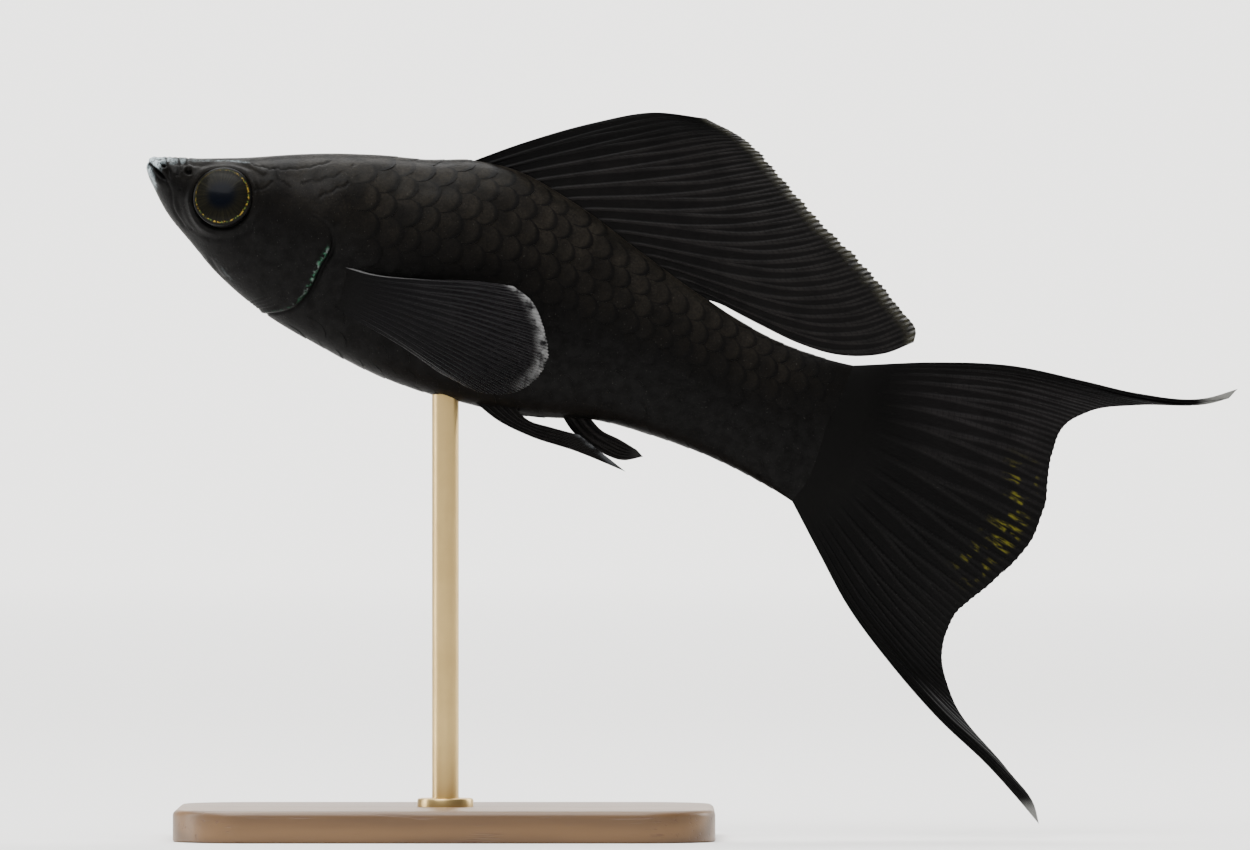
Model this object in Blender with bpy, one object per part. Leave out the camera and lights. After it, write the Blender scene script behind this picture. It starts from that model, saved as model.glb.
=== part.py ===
"""A black lyretail molly, life size, hovering nose up on a plain display stand.

The fish is modelled level, with its snout tip at the origin, its tail towards +X, its back
towards +Z and its left side towards -Y. An empty then lifts it over the stand and tips its nose up.
Every size is in millimetres, and every outline is given along and above the level fish.
"""

import math

import bmesh
import bpy
import numpy as np
from mathutils import Vector

MM = 0.001

# How the fish is held over the stand, whose rod stands at the world's origin
NOSE_UP = math.radians(21.0)
SNOUT_BEFORE_ROD = 24.3
SNOUT_HEIGHT = 55.0
NODE_GAP = 0.3

# The trunk seen from the side
BACK_LINE = (
    (-0.2, 0.3), (0.9, 1.05), (3.0, 1.75), (6.8, 3.25), (11.3, 5.3), (17.2, 7.6), (21.3, 8.75), (24.6, 10.0),
    (27.6, 10.5), (33.9, 9.7), (40.2, 7.95), (45.6, 6.5), (53.4, 5.1), (59.0, 5.4), (63.0, 6.2),
)
BELLY_LINE = (
    (-0.2, -0.1), (0.9, -1.4), (2.4, -2.75), (5.6, -4.7), (9.0, -6.5), (12.5, -7.75), (18.5, -8.9),
    (24.5, -9.45), (30.0, -9.15), (36.5, -8.1), (41.7, -6.45), (46.0, -6.0), (53.0, -6.0), (58.6, -6.85),
    (63.0, -8.0),
)
# Half of its width seen from above, and how high up each section it is widest
HALF_WIDTH = (
    (-0.2, 1.1), (0.6, 1.9), (2.0, 2.6), (4.5, 3.45), (8.0, 4.25), (13.0, 4.75), (20.0, 4.85),
    (26.0, 4.6), (33.0, 3.95), (40.0, 3.2), (48.0, 2.4), (54.0, 1.75), (59.0, 1.15), (63.0, 0.7),
)
WIDEST_SHARE = ((-0.2, 0.5), (6.0, 0.6), (14.0, 0.56), (26.0, 0.5), (63.0, 0.5))
# How square each section is over and under its widest level, where 2 is an ellipse
SQUARE_ABOVE = ((-0.2, 2.4), (5.0, 2.8), (12.0, 2.4), (20.0, 2.1), (63.0, 2.0))
SQUARE_BELOW = ((-0.2, 2.0), (6.0, 1.75), (14.0, 1.9), (24.0, 2.1), (63.0, 2.0))
TRUNK_SIDES = 36
# Where the sections lie: closer together at the snout, then evenly along the head, torso and stem
SNOUT_STATIONS = (-0.2, 0.1, 0.6, 1.2, 2.0, 3.0)
HEAD_STATIONS = (4.0, 18.5, 0.9)
TORSO_STATIONS = (9.0, 51.0, 1.8)
STEM_STATIONS = (43.0, 64.0, 1.3)

# Where the trunk is parted: the rear edge of the gill covers, behind the dorsal fin, and at the tail fin
GILL_EDGE = (
    (13.9, 12.0), (14.1, 7.0), (14.7, 4.4), (15.4, 2.4), (16.2, 0.3), (16.5, -1.1), (16.25, -2.4),
    (16.15, -4.0), (15.95, -5.3), (15.2, -6.7), (14.2, -7.45), (13.2, -7.95), (11.9, -12.0),
)
STEM_EDGE = ((46.6, 12.0), (46.9, 0.0), (46.1, -12.0))
TAIL_ROOT = ((58.4, 12.0), (59.9, 5.6), (61.4, 2.4), (61.7, -1.2), (60.7, -4.6), (58.9, -7.0), (56.0, -12.0))
EDGE_STEPS = 16
GILL_FLARE = 0.4
GILL_FLARE_X = (11.0, 16.8)

# Head
EYE_X, EYE_Z = 6.75, -0.25
EYE_RADIUS = 2.45
EYE_DOME = 0.55
EYE_DEPTH = 1.5
EYE_TURN_FORWARD = math.radians(13.0)
EYE_TURN_UP = math.radians(9.0)
EYE_SIDES = 24
EYE_RINGS = 5
MOUTH_CORNER = (1.9, -0.62)
MOUTH_TIP = (-0.5, 0.42)
MOUTH_GAPE = 0.26
LIP_REACH = 1.72
LIP_HALF_WIDTH = 2.1
LIP_RADIUS = 0.34
LIP_END_TURN = 1.45
LIP_END_SHARE = 0.55
LIP_STEPS = 14
UPPER_LIP_LIFT, LOWER_LIP_DROP = 0.26, 0.29
# Each nostril by its place in the side view and its radius
NOSTRILS = ((1.3, 0.42, 0.18), (3.4, 0.7, 0.22))
NOSTRIL_DEPTH = 0.45
NOSTRIL_TAPER = 0.8
NOSTRIL_FACES = (-0.4, 0.7)
NOSTRIL_SIDES = 10

# Fins: half of the membrane's thickness, how far a ray stands out of each face and what share of that
# it loses by the margin, how the sheet thins at its tips and thickens at its root, how deep the margin
# is notched between two rays, and the steps in which rays and outlines are worked out
FIN_HALF = 0.25
RAY_RISE = 0.2
RAY_FADE = 0.4
TIP_THINNING = 0.4
TIP_SHARE = 0.2
ROOT_SWELL = 0.25
MARGIN_NOTCH = 0.4
RAY_STEP = 0.25
MAX_RAY = 45.0
CURVE_STEPS = 80
# Each broad fin is given by its first ray, its margin and its last ray, and a narrow one by its rays alone
DORSAL_ROOT_X = (23.2, 46.0)
DORSAL_SUNK = 1.0
DORSAL_LEAD = ((28.0, 12.7), (32.8, 16.3), (37.0, 18.8), (41.2, 19.9))
DORSAL_MARGIN = (
    (41.2, 19.9), (45.0, 19.45), (49.5, 17.25), (53.7, 15.1), (58.0, 13.2), (61.6, 11.1), (63.5, 9.7),
    (63.6, 8.9),
)
DORSAL_TRAIL = ((48.2, 6.5), (51.5, 6.0), (55.0, 5.65), (58.5, 6.0), (61.4, 7.0), (63.6, 8.9))
DORSAL_RAYS, DORSAL_ROWS = 16, 9
DORSAL_RIPPLE = 0.7
DORSAL_WAVES = 1.1
TAIL_LEAD = ((65.8, 8.0), (71.8, 10.0), (77.8, 10.95), (82.1, 11.55), (87.5, 13.2), (89.6, 14.8))
TAIL_MARGIN = (
    (89.6, 14.8), (88.9, 13.3), (87.0, 12.35), (82.4, 10.6), (79.0, 8.75), (77.5, 6.9), (77.5, 4.0),
    (78.4, 0.2), (78.4, -2.6), (76.4, -7.6), (74.8, -10.6), (74.9, -14.0), (77.0, -17.1), (83.3, -20.95),
    (86.4, -22.9), (87.3, -24.2),
)
TAIL_TRAIL = (
    (62.6, -10.0), (66.2, -13.1), (71.2, -16.3), (76.5, -19.1), (81.8, -21.3), (85.3, -23.1), (87.3, -24.2),
)
TAIL_RAYS, TAIL_ROWS = 20, 13
TAIL_CROWD = 0.8
TAIL_RIPPLE = 0.5
TAIL_WAVES = 1.5
TAIL_SWING = 1.6
TAIL_ROOT_SWELL = 0.6
# Where the two streamers are parted from the rest of the tail fin
UPPER_STREAMER_X = 79.8
LOWER_STREAMER_CUT = ((77.3, -9.7), (70.7, -19.7))
# The pectoral fin lies flat in its own frame, whose origin is in the middle of its root
PECTORAL_X, PECTORAL_Z = 18.3, -4.0
PECTORAL_SPLAY = math.radians(20.0)
PECTORAL_ROLL = math.radians(16.0)
PECTORAL_LEAD = ((-1.2, 1.9), (2.2, 2.2), (6.6, 3.3), (11.4, 4.75), (14.2, 5.3))
PECTORAL_MARGIN = (
    (14.2, 5.3), (16.2, 4.7), (18.0, 2.9), (19.0, 0.9), (18.6, -1.0), (17.0, -2.9), (14.4, -3.95),
    (10.2, -3.8),
)
PECTORAL_TRAIL = ((-1.1, -1.4), (2.6, -1.9), (5.8, -2.5), (10.2, -3.8))
PECTORAL_RAYS, PECTORAL_ROWS = 13, 7
PECTORAL_CUP = 0.9
PECTORAL_CURL = 1.1
PECTORAL_DIP = 1.0
PELVIC_LEAD = ((31.6, -8.4), (34.0, -9.2), (37.0, -9.5), (41.0, -9.3), (45.4, -9.4))
PELVIC_TRAIL = ((34.6, -7.4), (36.4, -8.3), (38.4, -8.2), (40.8, -7.95))
PELVIC_RAYS, PELVIC_ROWS = 6, 7
PELVIC_HALF_APART = 0.95
PELVIC_SPREAD = 0.075
PELVIC_SWELL = 0.08
ANAL_LEAD = ((38.2, -6.4), (40.2, -7.9), (42.6, -8.6), (44.9, -8.6), (46.3, -7.75))
ANAL_TRAIL = ((40.9, -6.2), (42.4, -6.95), (43.9, -7.1), (45.6, -7.4))
ANAL_RAYS, ANAL_ROWS = 4, 7
ANAL_SWELL = 0.22

# Display stand
BASE_LENGTH = 44.0
BASE_WIDTH = 30.0
BASE_THICK = 2.6
BASE_CORNER = 6.0
BASE_CORNER_STEPS = 6
BASE_EDGE = 0.5
ROD_RADIUS = 1.1
ROD_IN_BASE = 1.3
ROD_IN_BELLY = 1.6
ROD_SIDES = 24

# Materials: name, colour, roughness, metallic
HEAD_SKIN = ("head_skin", (0.026, 0.022, 0.021), 0.42, 0.0)
TORSO_SKIN = ("torso_skin", (0.024, 0.020, 0.017), 0.45, 0.0)
STEM_SKIN = ("tail_stem_skin", (0.020, 0.017, 0.015), 0.45, 0.0)
EYE_CASE = ("eye_case", (0.010, 0.010, 0.012), 0.10, 0.0)
DORSAL = ("dorsal_membrane", (0.030, 0.026, 0.026), 0.5, 0.0)
TAIL = ("tail_membrane", (0.022, 0.019, 0.018), 0.5, 0.0)
STREAMER = ("streamer_membrane", (0.035, 0.032, 0.030), 0.5, 0.0)
PECTORAL = ("pectoral_membrane", (0.045, 0.040, 0.042), 0.5, 0.0)
PELVIC = ("pelvic_membrane", (0.020, 0.018, 0.017), 0.5, 0.0)
ANAL = ("anal_membrane", (0.018, 0.016, 0.015), 0.5, 0.0)
WOOD = ("oiled_wood", (0.30, 0.17, 0.085), 0.45, 0.0)
METAL = ("rod_brass", (0.72, 0.55, 0.28), 0.3, 1.0)

SHARP_ANGLE = math.radians(50.0)
FIN_SHARP_ANGLE = math.radians(15.0)
SAME_POINT = 1e-7
# How far the cutting shapes reach past what they cut
FAR_LEFT, FAR_RIGHT, FAR_UP, FAR_DOWN = -5.0, 100.0, 30.0, -30.0
HALF_REACH = 10.0


def clear_scene():
    """Removes whatever the file held before."""
    for obj in list(bpy.data.objects):
        bpy.data.objects.remove(obj)


def height_along(points):
    """A smooth line through points, as a function from their first coordinate to their second."""
    along, high = np.array(points, float).T
    slope = np.gradient(high, along)

    def value(x):
        x = np.clip(x, along[0], along[-1])
        i = np.clip(np.searchsorted(along, x) - 1, 0, len(along) - 2)
        span = along[i + 1] - along[i]
        t = (x - along[i]) / span
        start, end = (1 + 2 * t) * (1 - t) ** 2, t * t * (3 - 2 * t)
        lead, trail = t * (1 - t) ** 2, t * t * (1 - t)
        return start * high[i] + end * high[i + 1] + span * (lead * slope[i] - trail * slope[i + 1])

    return value


def curve_through(points):
    """A smooth curve through points, as a function of the share of its length, from 0 to 1."""
    points = np.array(points, float)
    steps = np.linalg.norm(np.diff(points, axis=0), axis=1)
    share = np.concatenate([[0.0], np.cumsum(steps)]) / steps.sum()
    ways = [height_along(np.column_stack([share, column])) for column in points.T]
    return lambda t: np.array([way(t) for way in ways])


def ease(t):
    """Goes from 0 to 1 with no corner at either end."""
    t = min(max(t, 0.0), 1.0)
    return t * t * (3 - 2 * t)


back = height_along(BACK_LINE)
belly = height_along(BELLY_LINE)
half_width = height_along(HALF_WIDTH)
widest_share = height_along(WIDEST_SHARE)
square_above = height_along(SQUARE_ABOVE)
square_below = height_along(SQUARE_BELOW)


def widest_level(x):
    return belly(x) + widest_share(x) * (back(x) - belly(x))


def flank(x, z):
    """Half of the trunk's width at a place in the side view."""
    above = z > widest_level(x)
    power = square_above(x) if above else square_below(x)
    share = (z - widest_level(x)) / ((back(x) if above else belly(x)) - widest_level(x))
    return half_width(x) * (1 - share**power) ** (1 / power)


def material(look):
    """The named material, made once."""
    name, color, roughness, metallic = look
    found = bpy.data.materials.get(name)
    if found:
        return found
    made = bpy.data.materials.new(name)
    made.use_nodes = True
    shader = made.node_tree.nodes["Principled BSDF"]
    shader.inputs["Base Color"].default_value = (*color, 1.0)
    shader.inputs["Roughness"].default_value = roughness
    shader.inputs["Metallic"].default_value = metallic
    return made


def place(name, mesh, parent):
    """Puts a mesh in the scene as an object of its own, shaded smooth but for its real edges."""
    mesh.shade_smooth()
    mesh.set_sharp_from_angle(angle=SHARP_ANGLE)
    obj = bpy.data.objects.new(name, mesh)
    bpy.context.scene.collection.objects.link(obj)
    obj.parent = parent
    return obj


def solid(name, points, faces, look, parent=None):
    """One closed object from points in millimetres."""
    mesh = bpy.data.meshes.new(name)
    mesh.from_pydata([tuple(c * MM for c in p) for p in points], [], faces)
    mesh.materials.append(material(look))
    form = bmesh.new()
    form.from_mesh(mesh)
    bmesh.ops.recalc_face_normals(form, faces=form.faces)
    form.to_mesh(mesh)
    form.free()
    return place(name, mesh, parent)


def turned(name, profile, look, sides, parent=None):
    """A turned piece: a profile of radius and height, spun round Z."""
    points, faces, rings = [], [], []
    turns = [2 * math.pi * i / sides for i in range(sides)]
    for radius, height in profile:
        first = len(points)
        if radius == 0:
            points.append((0.0, 0.0, height))
        else:
            points += [(radius * math.cos(turn), radius * math.sin(turn), height) for turn in turns]
        rings.append(range(first, len(points)))
    for low, high in zip(rings, rings[1:]):
        for i in range(sides):
            j = i + 1
            corners = (low[i % len(low)], low[j % len(low)], high[j % len(high)], high[i % len(high)])
            faces.append(tuple(dict.fromkeys(corners)))
    return solid(name, points, faces, look, parent)


def cutter(obj):
    """Marks a shape that only cuts others."""
    obj.hide_render = True
    obj.display_type = "WIRE"
    return obj


def prism(outline, look, parent):
    """A cutter with an outline of the side view, drawn out to both sides."""
    count = len(outline)
    points = [(x, y, z) for y in (-HALF_REACH, HALF_REACH) for x, z in outline]
    faces = [tuple(range(count)), tuple(range(count, 2 * count))]
    faces += [(i, (i + 1) % count, count + (i + 1) % count, count + i) for i in range(count)]
    return cutter(solid("prism", points, faces, look, parent))


def applied(obj, step):
    """Applies the one modifier of obj."""
    step.solver = "EXACT"
    bpy.context.view_layer.update()
    graph = bpy.context.evaluated_depsgraph_get()
    mesh = bpy.data.meshes.new_from_object(obj.evaluated_get(graph), depsgraph=graph)
    obj.modifiers.clear()
    obj.data = mesh
    return obj


def cut(obj, tool, operation="DIFFERENCE"):
    """Cuts obj with a tool, or keeps only what they share."""
    step = obj.modifiers.new("cut", "BOOLEAN")
    step.operation = operation
    step.object = tool
    return applied(obj, step)


def join(obj, pieces):
    """Fuses closed pieces into obj and removes them."""
    group = bpy.data.collections.new("pieces")
    bpy.context.scene.collection.children.link(group)
    for piece in pieces:
        group.objects.link(piece)
    step = obj.modifiers.new("join", "BOOLEAN")
    step.operation = "UNION"
    step.operand_type = "COLLECTION"
    step.collection = group
    applied(obj, step)
    for piece in pieces:
        bpy.data.objects.remove(piece)
    bpy.data.collections.remove(group)
    return obj


def keep_largest(obj, sharp=SHARP_ANGLE):
    """Keeps only the largest closed surface of obj, with its sharp edges marked again."""
    form = bmesh.new()
    form.from_mesh(obj.data)
    bmesh.ops.remove_doubles(form, verts=form.verts, dist=SAME_POINT)
    left, shells = set(form.faces), []
    while left:
        shell, front = set(), [left.pop()]
        while front:
            face = front.pop()
            shell.add(face)
            near = {other for edge in face.edges for other in edge.link_faces if other in left}
            left -= near
            front += near
        shells.append(shell)
    shells.sort(key=lambda shell: sum(face.calc_area() for face in shell))
    scraps = [face for shell in shells[:-1] for face in shell]
    bmesh.ops.delete(form, geom=scraps, context="FACES")
    form.to_mesh(obj.data)
    form.free()
    obj.data.shade_smooth()
    obj.data.set_sharp_from_angle(angle=sharp)
    return obj


def section_point(x, angle, grow, flare):
    """A point of the trunk's section at x, with angle 0 at the belly and a quarter turn at the left side."""
    top, bottom, level = back(x) + grow, belly(x) - grow, widest_level(x)
    across, up = math.sin(angle), -math.cos(angle)
    power = 2 / (square_above(x) if up > 0 else square_below(x))
    reach = top - level if up > 0 else level - bottom
    y = -math.copysign(abs(across) ** power, across) * (half_width(x) + grow + flare)
    z = level + math.copysign(abs(up) ** power, up) * reach
    return (float(x), float(y), float(z))


def trunk(name, stations, look, parent, grow=0.0, flare=lambda x: 0.0):
    """The trunk from the first station to the last, closed at both ends."""
    sides = TRUNK_SIDES
    turns = [2 * math.pi * i / sides for i in range(sides)]
    points = [section_point(x, turn, grow, flare(x)) for x in stations for turn in turns]
    faces = [tuple(range(sides)), tuple(range(len(points) - sides, len(points)))]
    for here in range(0, len(points) - sides, sides):
        for i in range(sides):
            j = (i + 1) % sides
            faces.append((here + i, here + j, here + sides + j, here + sides + i))
    return solid(name, points, faces, look, parent)


def edge_points(edge, shift=0.0):
    """Points along a parting line, moved tailward by a gap."""
    curve = curve_through(edge)
    return [(x + shift, z) for x, z in (curve(step / EDGE_STEPS) for step in range(EDGE_STEPS + 1))]


def gill_flare(x):
    """How far the gill covers stand off the flank."""
    start, end = GILL_FLARE_X
    return GILL_FLARE * ease((x - start) / (end - start))


def head(fish):
    """The head as far as the gill covers' rear edge, with lips, mouth line, nostrils and eye sockets."""
    made = trunk("head", (*SNOUT_STATIONS, *np.arange(*HEAD_STATIONS)), HEAD_SKIN, fish, flare=gill_flare)
    outline = [(FAR_LEFT, FAR_UP), *edge_points(GILL_EDGE), (FAR_LEFT, FAR_DOWN)]
    tools = [prism(outline, HEAD_SKIN, fish)]
    cut(made, tools[0], "INTERSECT")
    join(made, [lip(UPPER_LIP_LIFT, fish), lip(-LOWER_LIP_DROP, fish)])
    tools.append(mouth_line(fish))
    for side in (-1, 1):
        tools.append(eye_socket(side, fish))
        tools += [nostril(x, z, radius, side, fish) for x, z, radius in NOSTRILS]
    for tool in tools[1:]:
        cut(made, tool)
    for tool in tools:
        bpy.data.objects.remove(tool)
    return keep_largest(made)


def mouth_slope():
    return (MOUTH_TIP[1] - MOUTH_CORNER[1]) / (MOUTH_CORNER[0] - MOUTH_TIP[0])


def mouth_line(fish):
    """Cuts the slit between the lips, from a point at its corners to its gape at the tip and out past it."""
    (corner_x, corner_z), (tip_x, tip_z) = MOUTH_CORNER, MOUTH_TIP
    fine = 0.1 * MOUTH_GAPE
    outline = [
        (tip_x - 1.0, tip_z + mouth_slope() + MOUTH_GAPE / 2),
        (tip_x - 1.0, tip_z + mouth_slope() - MOUTH_GAPE / 2),
        (tip_x, tip_z - MOUTH_GAPE / 2),
        (corner_x, corner_z - fine),
        (corner_x, corner_z + fine),
        (tip_x, tip_z + MOUTH_GAPE / 2),
    ]
    return prism(outline, HEAD_SKIN, fish)


def lip(lift, fish):
    """One lip: a rounded band beside the mouth line, from corner to corner round the front of the snout."""
    path = bpy.data.curves.new("lip", "CURVE")
    path.dimensions = "3D"
    path.bevel_depth = LIP_RADIUS * MM
    path.bevel_resolution = 2
    path.use_fill_caps = True
    band = path.splines.new("POLY")
    turns = np.linspace(-LIP_END_TURN, LIP_END_TURN, LIP_STEPS + 1)
    band.points.add(len(turns) - 1)
    for point, turn in zip(band.points, turns):
        before_corner = LIP_REACH * math.cos(turn)
        z = MOUTH_CORNER[1] + mouth_slope() * before_corner + lift
        point.co = ((MOUTH_CORNER[0] - before_corner) * MM, LIP_HALF_WIDTH * math.sin(turn) * MM, z * MM, 1.0)
        point.radius = LIP_END_SHARE + (1 - LIP_END_SHARE) * math.cos(turn)
    tube = bpy.data.objects.new("lip", path)
    bpy.context.scene.collection.objects.link(tube)
    graph = bpy.context.evaluated_depsgraph_get()
    mesh = bpy.data.meshes.new_from_object(tube.evaluated_get(graph), depsgraph=graph)
    bpy.data.objects.remove(tube)
    mesh.materials.clear()
    mesh.materials.append(material(HEAD_SKIN))
    form = bmesh.new()
    form.from_mesh(mesh)
    bmesh.ops.remove_doubles(form, verts=form.verts, dist=SAME_POINT)
    bmesh.ops.recalc_face_normals(form, faces=form.faces)
    form.to_mesh(mesh)
    form.free()
    return place("lip", mesh, fish)


def nostril(x, z, radius, side, fish):
    """Cuts one nostril into the side of the snout, its mouth up and forward."""
    outside, narrow = NOSTRIL_DEPTH, NOSTRIL_TAPER * radius
    profile = [(0, outside), (radius, outside), (narrow, -NOSTRIL_DEPTH), (0, -NOSTRIL_DEPTH)]
    made = turned("nostril", profile, HEAD_SKIN, NOSTRIL_SIDES, fish)
    made.location = Vector((x, side * flank(x, z), z)) * MM
    forward, up = NOSTRIL_FACES
    made.rotation_euler = Vector((forward, side, up)).to_track_quat("Z", "Y").to_euler()
    return cutter(made)


def face_outward(obj, side):
    """Seats an eye, or the cutter for its socket, on the side of the head."""
    obj.location = Vector((EYE_X, side * flank(EYE_X, EYE_Z), EYE_Z)) * MM
    level = math.cos(EYE_TURN_UP)
    forward = -math.sin(EYE_TURN_FORWARD) * level
    outward = Vector((forward, side * math.cos(EYE_TURN_FORWARD) * level, math.sin(EYE_TURN_UP)))
    obj.rotation_euler = outward.to_track_quat("Z", "Y").to_euler()
    return obj


def eye_cup(grow):
    """The profile of the back of the eye, from its rim to its deepest point."""
    radius, depth = EYE_RADIUS + grow, EYE_DEPTH + grow
    turns = [math.pi / 2 * i / EYE_RINGS for i in range(EYE_RINGS)]
    return [*((radius * math.cos(turn), -depth * math.sin(turn)) for turn in turns), (0, -depth)]


def eye(name, side, fish):
    turns = [math.pi / 2 * i / EYE_RINGS for i in range(1, EYE_RINGS)]
    dome = [(EYE_RADIUS * math.sin(turn), EYE_DOME * math.cos(turn)) for turn in turns]
    return face_outward(turned(name, [(0, EYE_DOME), *dome, *eye_cup(0.0)], EYE_CASE, EYE_SIDES, fish), side)


def eye_socket(side, fish):
    """Cuts the hole that an eye sits in, open to the outside."""
    outside = EYE_RADIUS
    profile = [(0, outside), (EYE_RADIUS + NODE_GAP, outside), *eye_cup(NODE_GAP)]
    return cutter(face_outward(turned("socket", profile, HEAD_SKIN, EYE_SIDES, fish), side))


def trunk_between(name, front, rear, stations, look, fish):
    """A length of the trunk between two parting lines, clear of the node before it."""
    made = trunk(name, stations, look, fish)
    tool = prism([*edge_points(front, NODE_GAP), *reversed(edge_points(rear))], look, fish)
    cut(made, tool, "INTERSECT")
    bpy.data.objects.remove(tool)
    return keep_largest(made)


def bearings(points):
    """The direction of a curve, as a function of the distance along it."""
    steps = np.diff(points, axis=0)
    lengths = np.linalg.norm(steps, axis=1)
    middles = np.cumsum(lengths) - lengths / 2
    angles = np.arctan2(steps[:, 1], steps[:, 0])
    return lambda s: np.interp(s, middles, angles)


def first_crossing(path, margin, otherwise):
    """How many steps of a path, and which share of the next, lead up to the margin, if it is met."""
    a, b = path[:-1, None], path[1:, None] - path[:-1, None]
    c, d = margin[None, :-1], margin[None, 1:] - margin[None, :-1]
    turn = b[..., 0] * d[..., 1] - b[..., 1] * d[..., 0]
    turn = np.where(abs(turn) < SAME_POINT, np.inf, turn)
    gap = c - a
    on_path = (gap[..., 0] * d[..., 1] - gap[..., 1] * d[..., 0]) / turn
    on_margin = (gap[..., 0] * b[..., 1] - gap[..., 1] * b[..., 0]) / turn
    met = (on_path >= 0) & (on_path <= 1) & (on_margin >= 0) & (on_margin <= 1) & np.isfinite(turn)
    crossings = (np.arange(len(path) - 1)[:, None] + on_path)[met]
    return crossings.min() if crossings.size else otherwise


def fan_of_rays(root, lead, trail, margin, shares, rows):
    """Each ray of a fin, and each line between two rays, as points from its root to the margin.

    A ray starts on the root, turns as the first and the last ray do at the same distance, in
    proportion to how near they are, and ends where it meets the margin. The lines between rays
    end a notch before it.
    """
    fine = np.linspace(0, 1, CURVE_STEPS + 1)
    lead, trail, margin = lead(fine).T, trail(fine).T, margin(fine).T
    lead_bearing, trail_bearing = bearings(lead), bearings(trail)
    steps = np.arange(0, MAX_RAY, RAY_STEP) + RAY_STEP / 2
    lengths = [np.linalg.norm(np.diff(edge, axis=0), axis=1).sum() / RAY_STEP for edge in (lead, trail)]
    rays = []
    for i, share in enumerate(shares):
        bearing = (1 - share) * lead_bearing(steps) + share * trail_bearing(steps)
        moves = RAY_STEP * np.column_stack([np.cos(bearing), np.sin(bearing)])
        path = root(share) + np.vstack([np.zeros((1, 2)), np.cumsum(moves, axis=0)])
        if share in (0.0, 1.0):
            path = trail if share else lead
            length = len(path) - 1.0
        else:
            length = first_crossing(path, margin, (1 - share) * lengths[0] + share * lengths[1])
            length -= i % 2 * MARGIN_NOTCH / RAY_STEP
        places = np.linspace(0, length, rows + 1)
        rays.append(np.column_stack([np.interp(places, np.arange(len(path)), column) for column in path.T]))
    return rays


def straight_root(lead, trail):
    """A fin's root that runs straight from its first ray to its last."""
    start, end = lead(0.0), trail(0.0)
    return lambda u: (1 - u) * start + u * end


def even_rays(lead, trail, shares, rows):
    """The rays of a narrow fin, laid evenly between its two edges."""
    along = np.linspace(0, 1, rows + 1)
    return [((1 - share) * lead(along) + share * trail(along)).T for share in shares]


def ray_shares(rays, crowd=0.0):
    """Places from the first ray at 0 to the last at 1, on each ray and between each two.

    crowd brings the outer rays closer together.
    """
    even = np.linspace(0, 1, 2 * rays - 1)
    shares = even - crowd * np.sin(2 * math.pi * even) / (2 * math.pi)
    shares[0], shares[-1] = 0.0, 1.0
    return shares


def fin(name, shares, rays, swell, lean, look, parent):
    """A fin as one closed sheet, with a ridge raised along each ray.

    Every other line in rays is a ray, and shares tells where each line lies. u is that share and v
    runs from the root to the margin. swell adds to half of the thickness and lean bends the sheet
    sideways. Both faces have the same triangles, so that a thin curved fin never crosses itself.
    """
    columns, rows = len(rays) - 1, len(rays[0]) - 1
    near, far = [], []
    for i, (u, ray) in enumerate(zip(shares, rays)):
        on_ray = 1 - i % 2
        for j, (x, z) in enumerate(ray):
            v = j / rows
            half = FIN_HALF + RAY_RISE * on_ray * (1 - RAY_FADE * v) + swell(u, v)
            half *= 1 - TIP_THINNING * ease((v - 1) / TIP_SHARE + 1)
            y = lean(u, v, x)
            near.append((x, y - half, z))
            far.append((x, y + half, z))
    width, side = rows + 1, len(near)
    faces = []
    for i in range(columns):
        for j in range(rows):
            a, b = i * width + j, (i + 1) * width + j
            for c, d, e in ((a, b, b + 1), (a, b + 1, a + 1)):
                faces += [(c, d, e), (e + side, d + side, c + side)]
    rim = [i * width for i in range(columns + 1)]
    rim += [columns * width + j for j in range(1, rows + 1)]
    rim += [i * width + rows for i in reversed(range(columns))]
    rim += list(reversed(range(1, rows)))
    for a, b in zip(rim, rim[1:] + rim[:1]):
        faces += [(a, a + side, b + side), (a, b + side, b)]
    return solid(name, near + far, faces, look, parent)


def dorsal_fin(clearance, fish):
    front, rear = DORSAL_ROOT_X

    def root(u):
        x = front + (rear - front) * u
        return np.array([x, back(x) - DORSAL_SUNK])

    def swell(u, v):
        return ROOT_SWELL * (1 - v) ** 3

    def lean(u, v, x):
        return DORSAL_RIPPLE * v * v * math.sin(2 * math.pi * DORSAL_WAVES * u)

    lead = curve_through([tuple(root(0.0)), *DORSAL_LEAD])
    trail = curve_through([tuple(root(1.0)), *DORSAL_TRAIL])
    shares = ray_shares(DORSAL_RAYS)
    rays = fan_of_rays(root, lead, trail, curve_through(DORSAL_MARGIN), shares, DORSAL_ROWS)
    made = fin("dorsal_fin", shares, rays, swell, lean, DORSAL, fish)
    return keep_largest(cut(made, clearance), FIN_SHARP_ANGLE)


def tail_fin_part(name, outline, look, fish):
    """The part of the tail fin that lies inside an outline of the side view."""
    edge = curve_through(TAIL_ROOT[1:-1])

    def root(u):
        return edge(u) + np.array([NODE_GAP, 0.0])

    def swell(u, v):
        return TAIL_ROOT_SWELL * (1 - v) ** 4 * math.sin(math.pi * (0.1 + 0.8 * u))

    def lean(u, v, x):
        ripple = TAIL_RIPPLE * v * v * math.sin(2 * math.pi * TAIL_WAVES * u)
        return ripple - TAIL_SWING * v**4 * math.cos(math.pi * u)

    lead = curve_through([tuple(root(0.0)), *TAIL_LEAD])
    trail = curve_through([tuple(root(1.0)), *TAIL_TRAIL])
    shares = ray_shares(TAIL_RAYS, TAIL_CROWD)
    rays = fan_of_rays(root, lead, trail, curve_through(TAIL_MARGIN), shares, TAIL_ROWS)
    made = fin(name, shares, rays, swell, lean, look, fish)
    tool = prism(outline, look, fish)
    cut(made, tool, "INTERSECT")
    bpy.data.objects.remove(tool)
    return keep_largest(made, FIN_SHARP_ANGLE)


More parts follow.
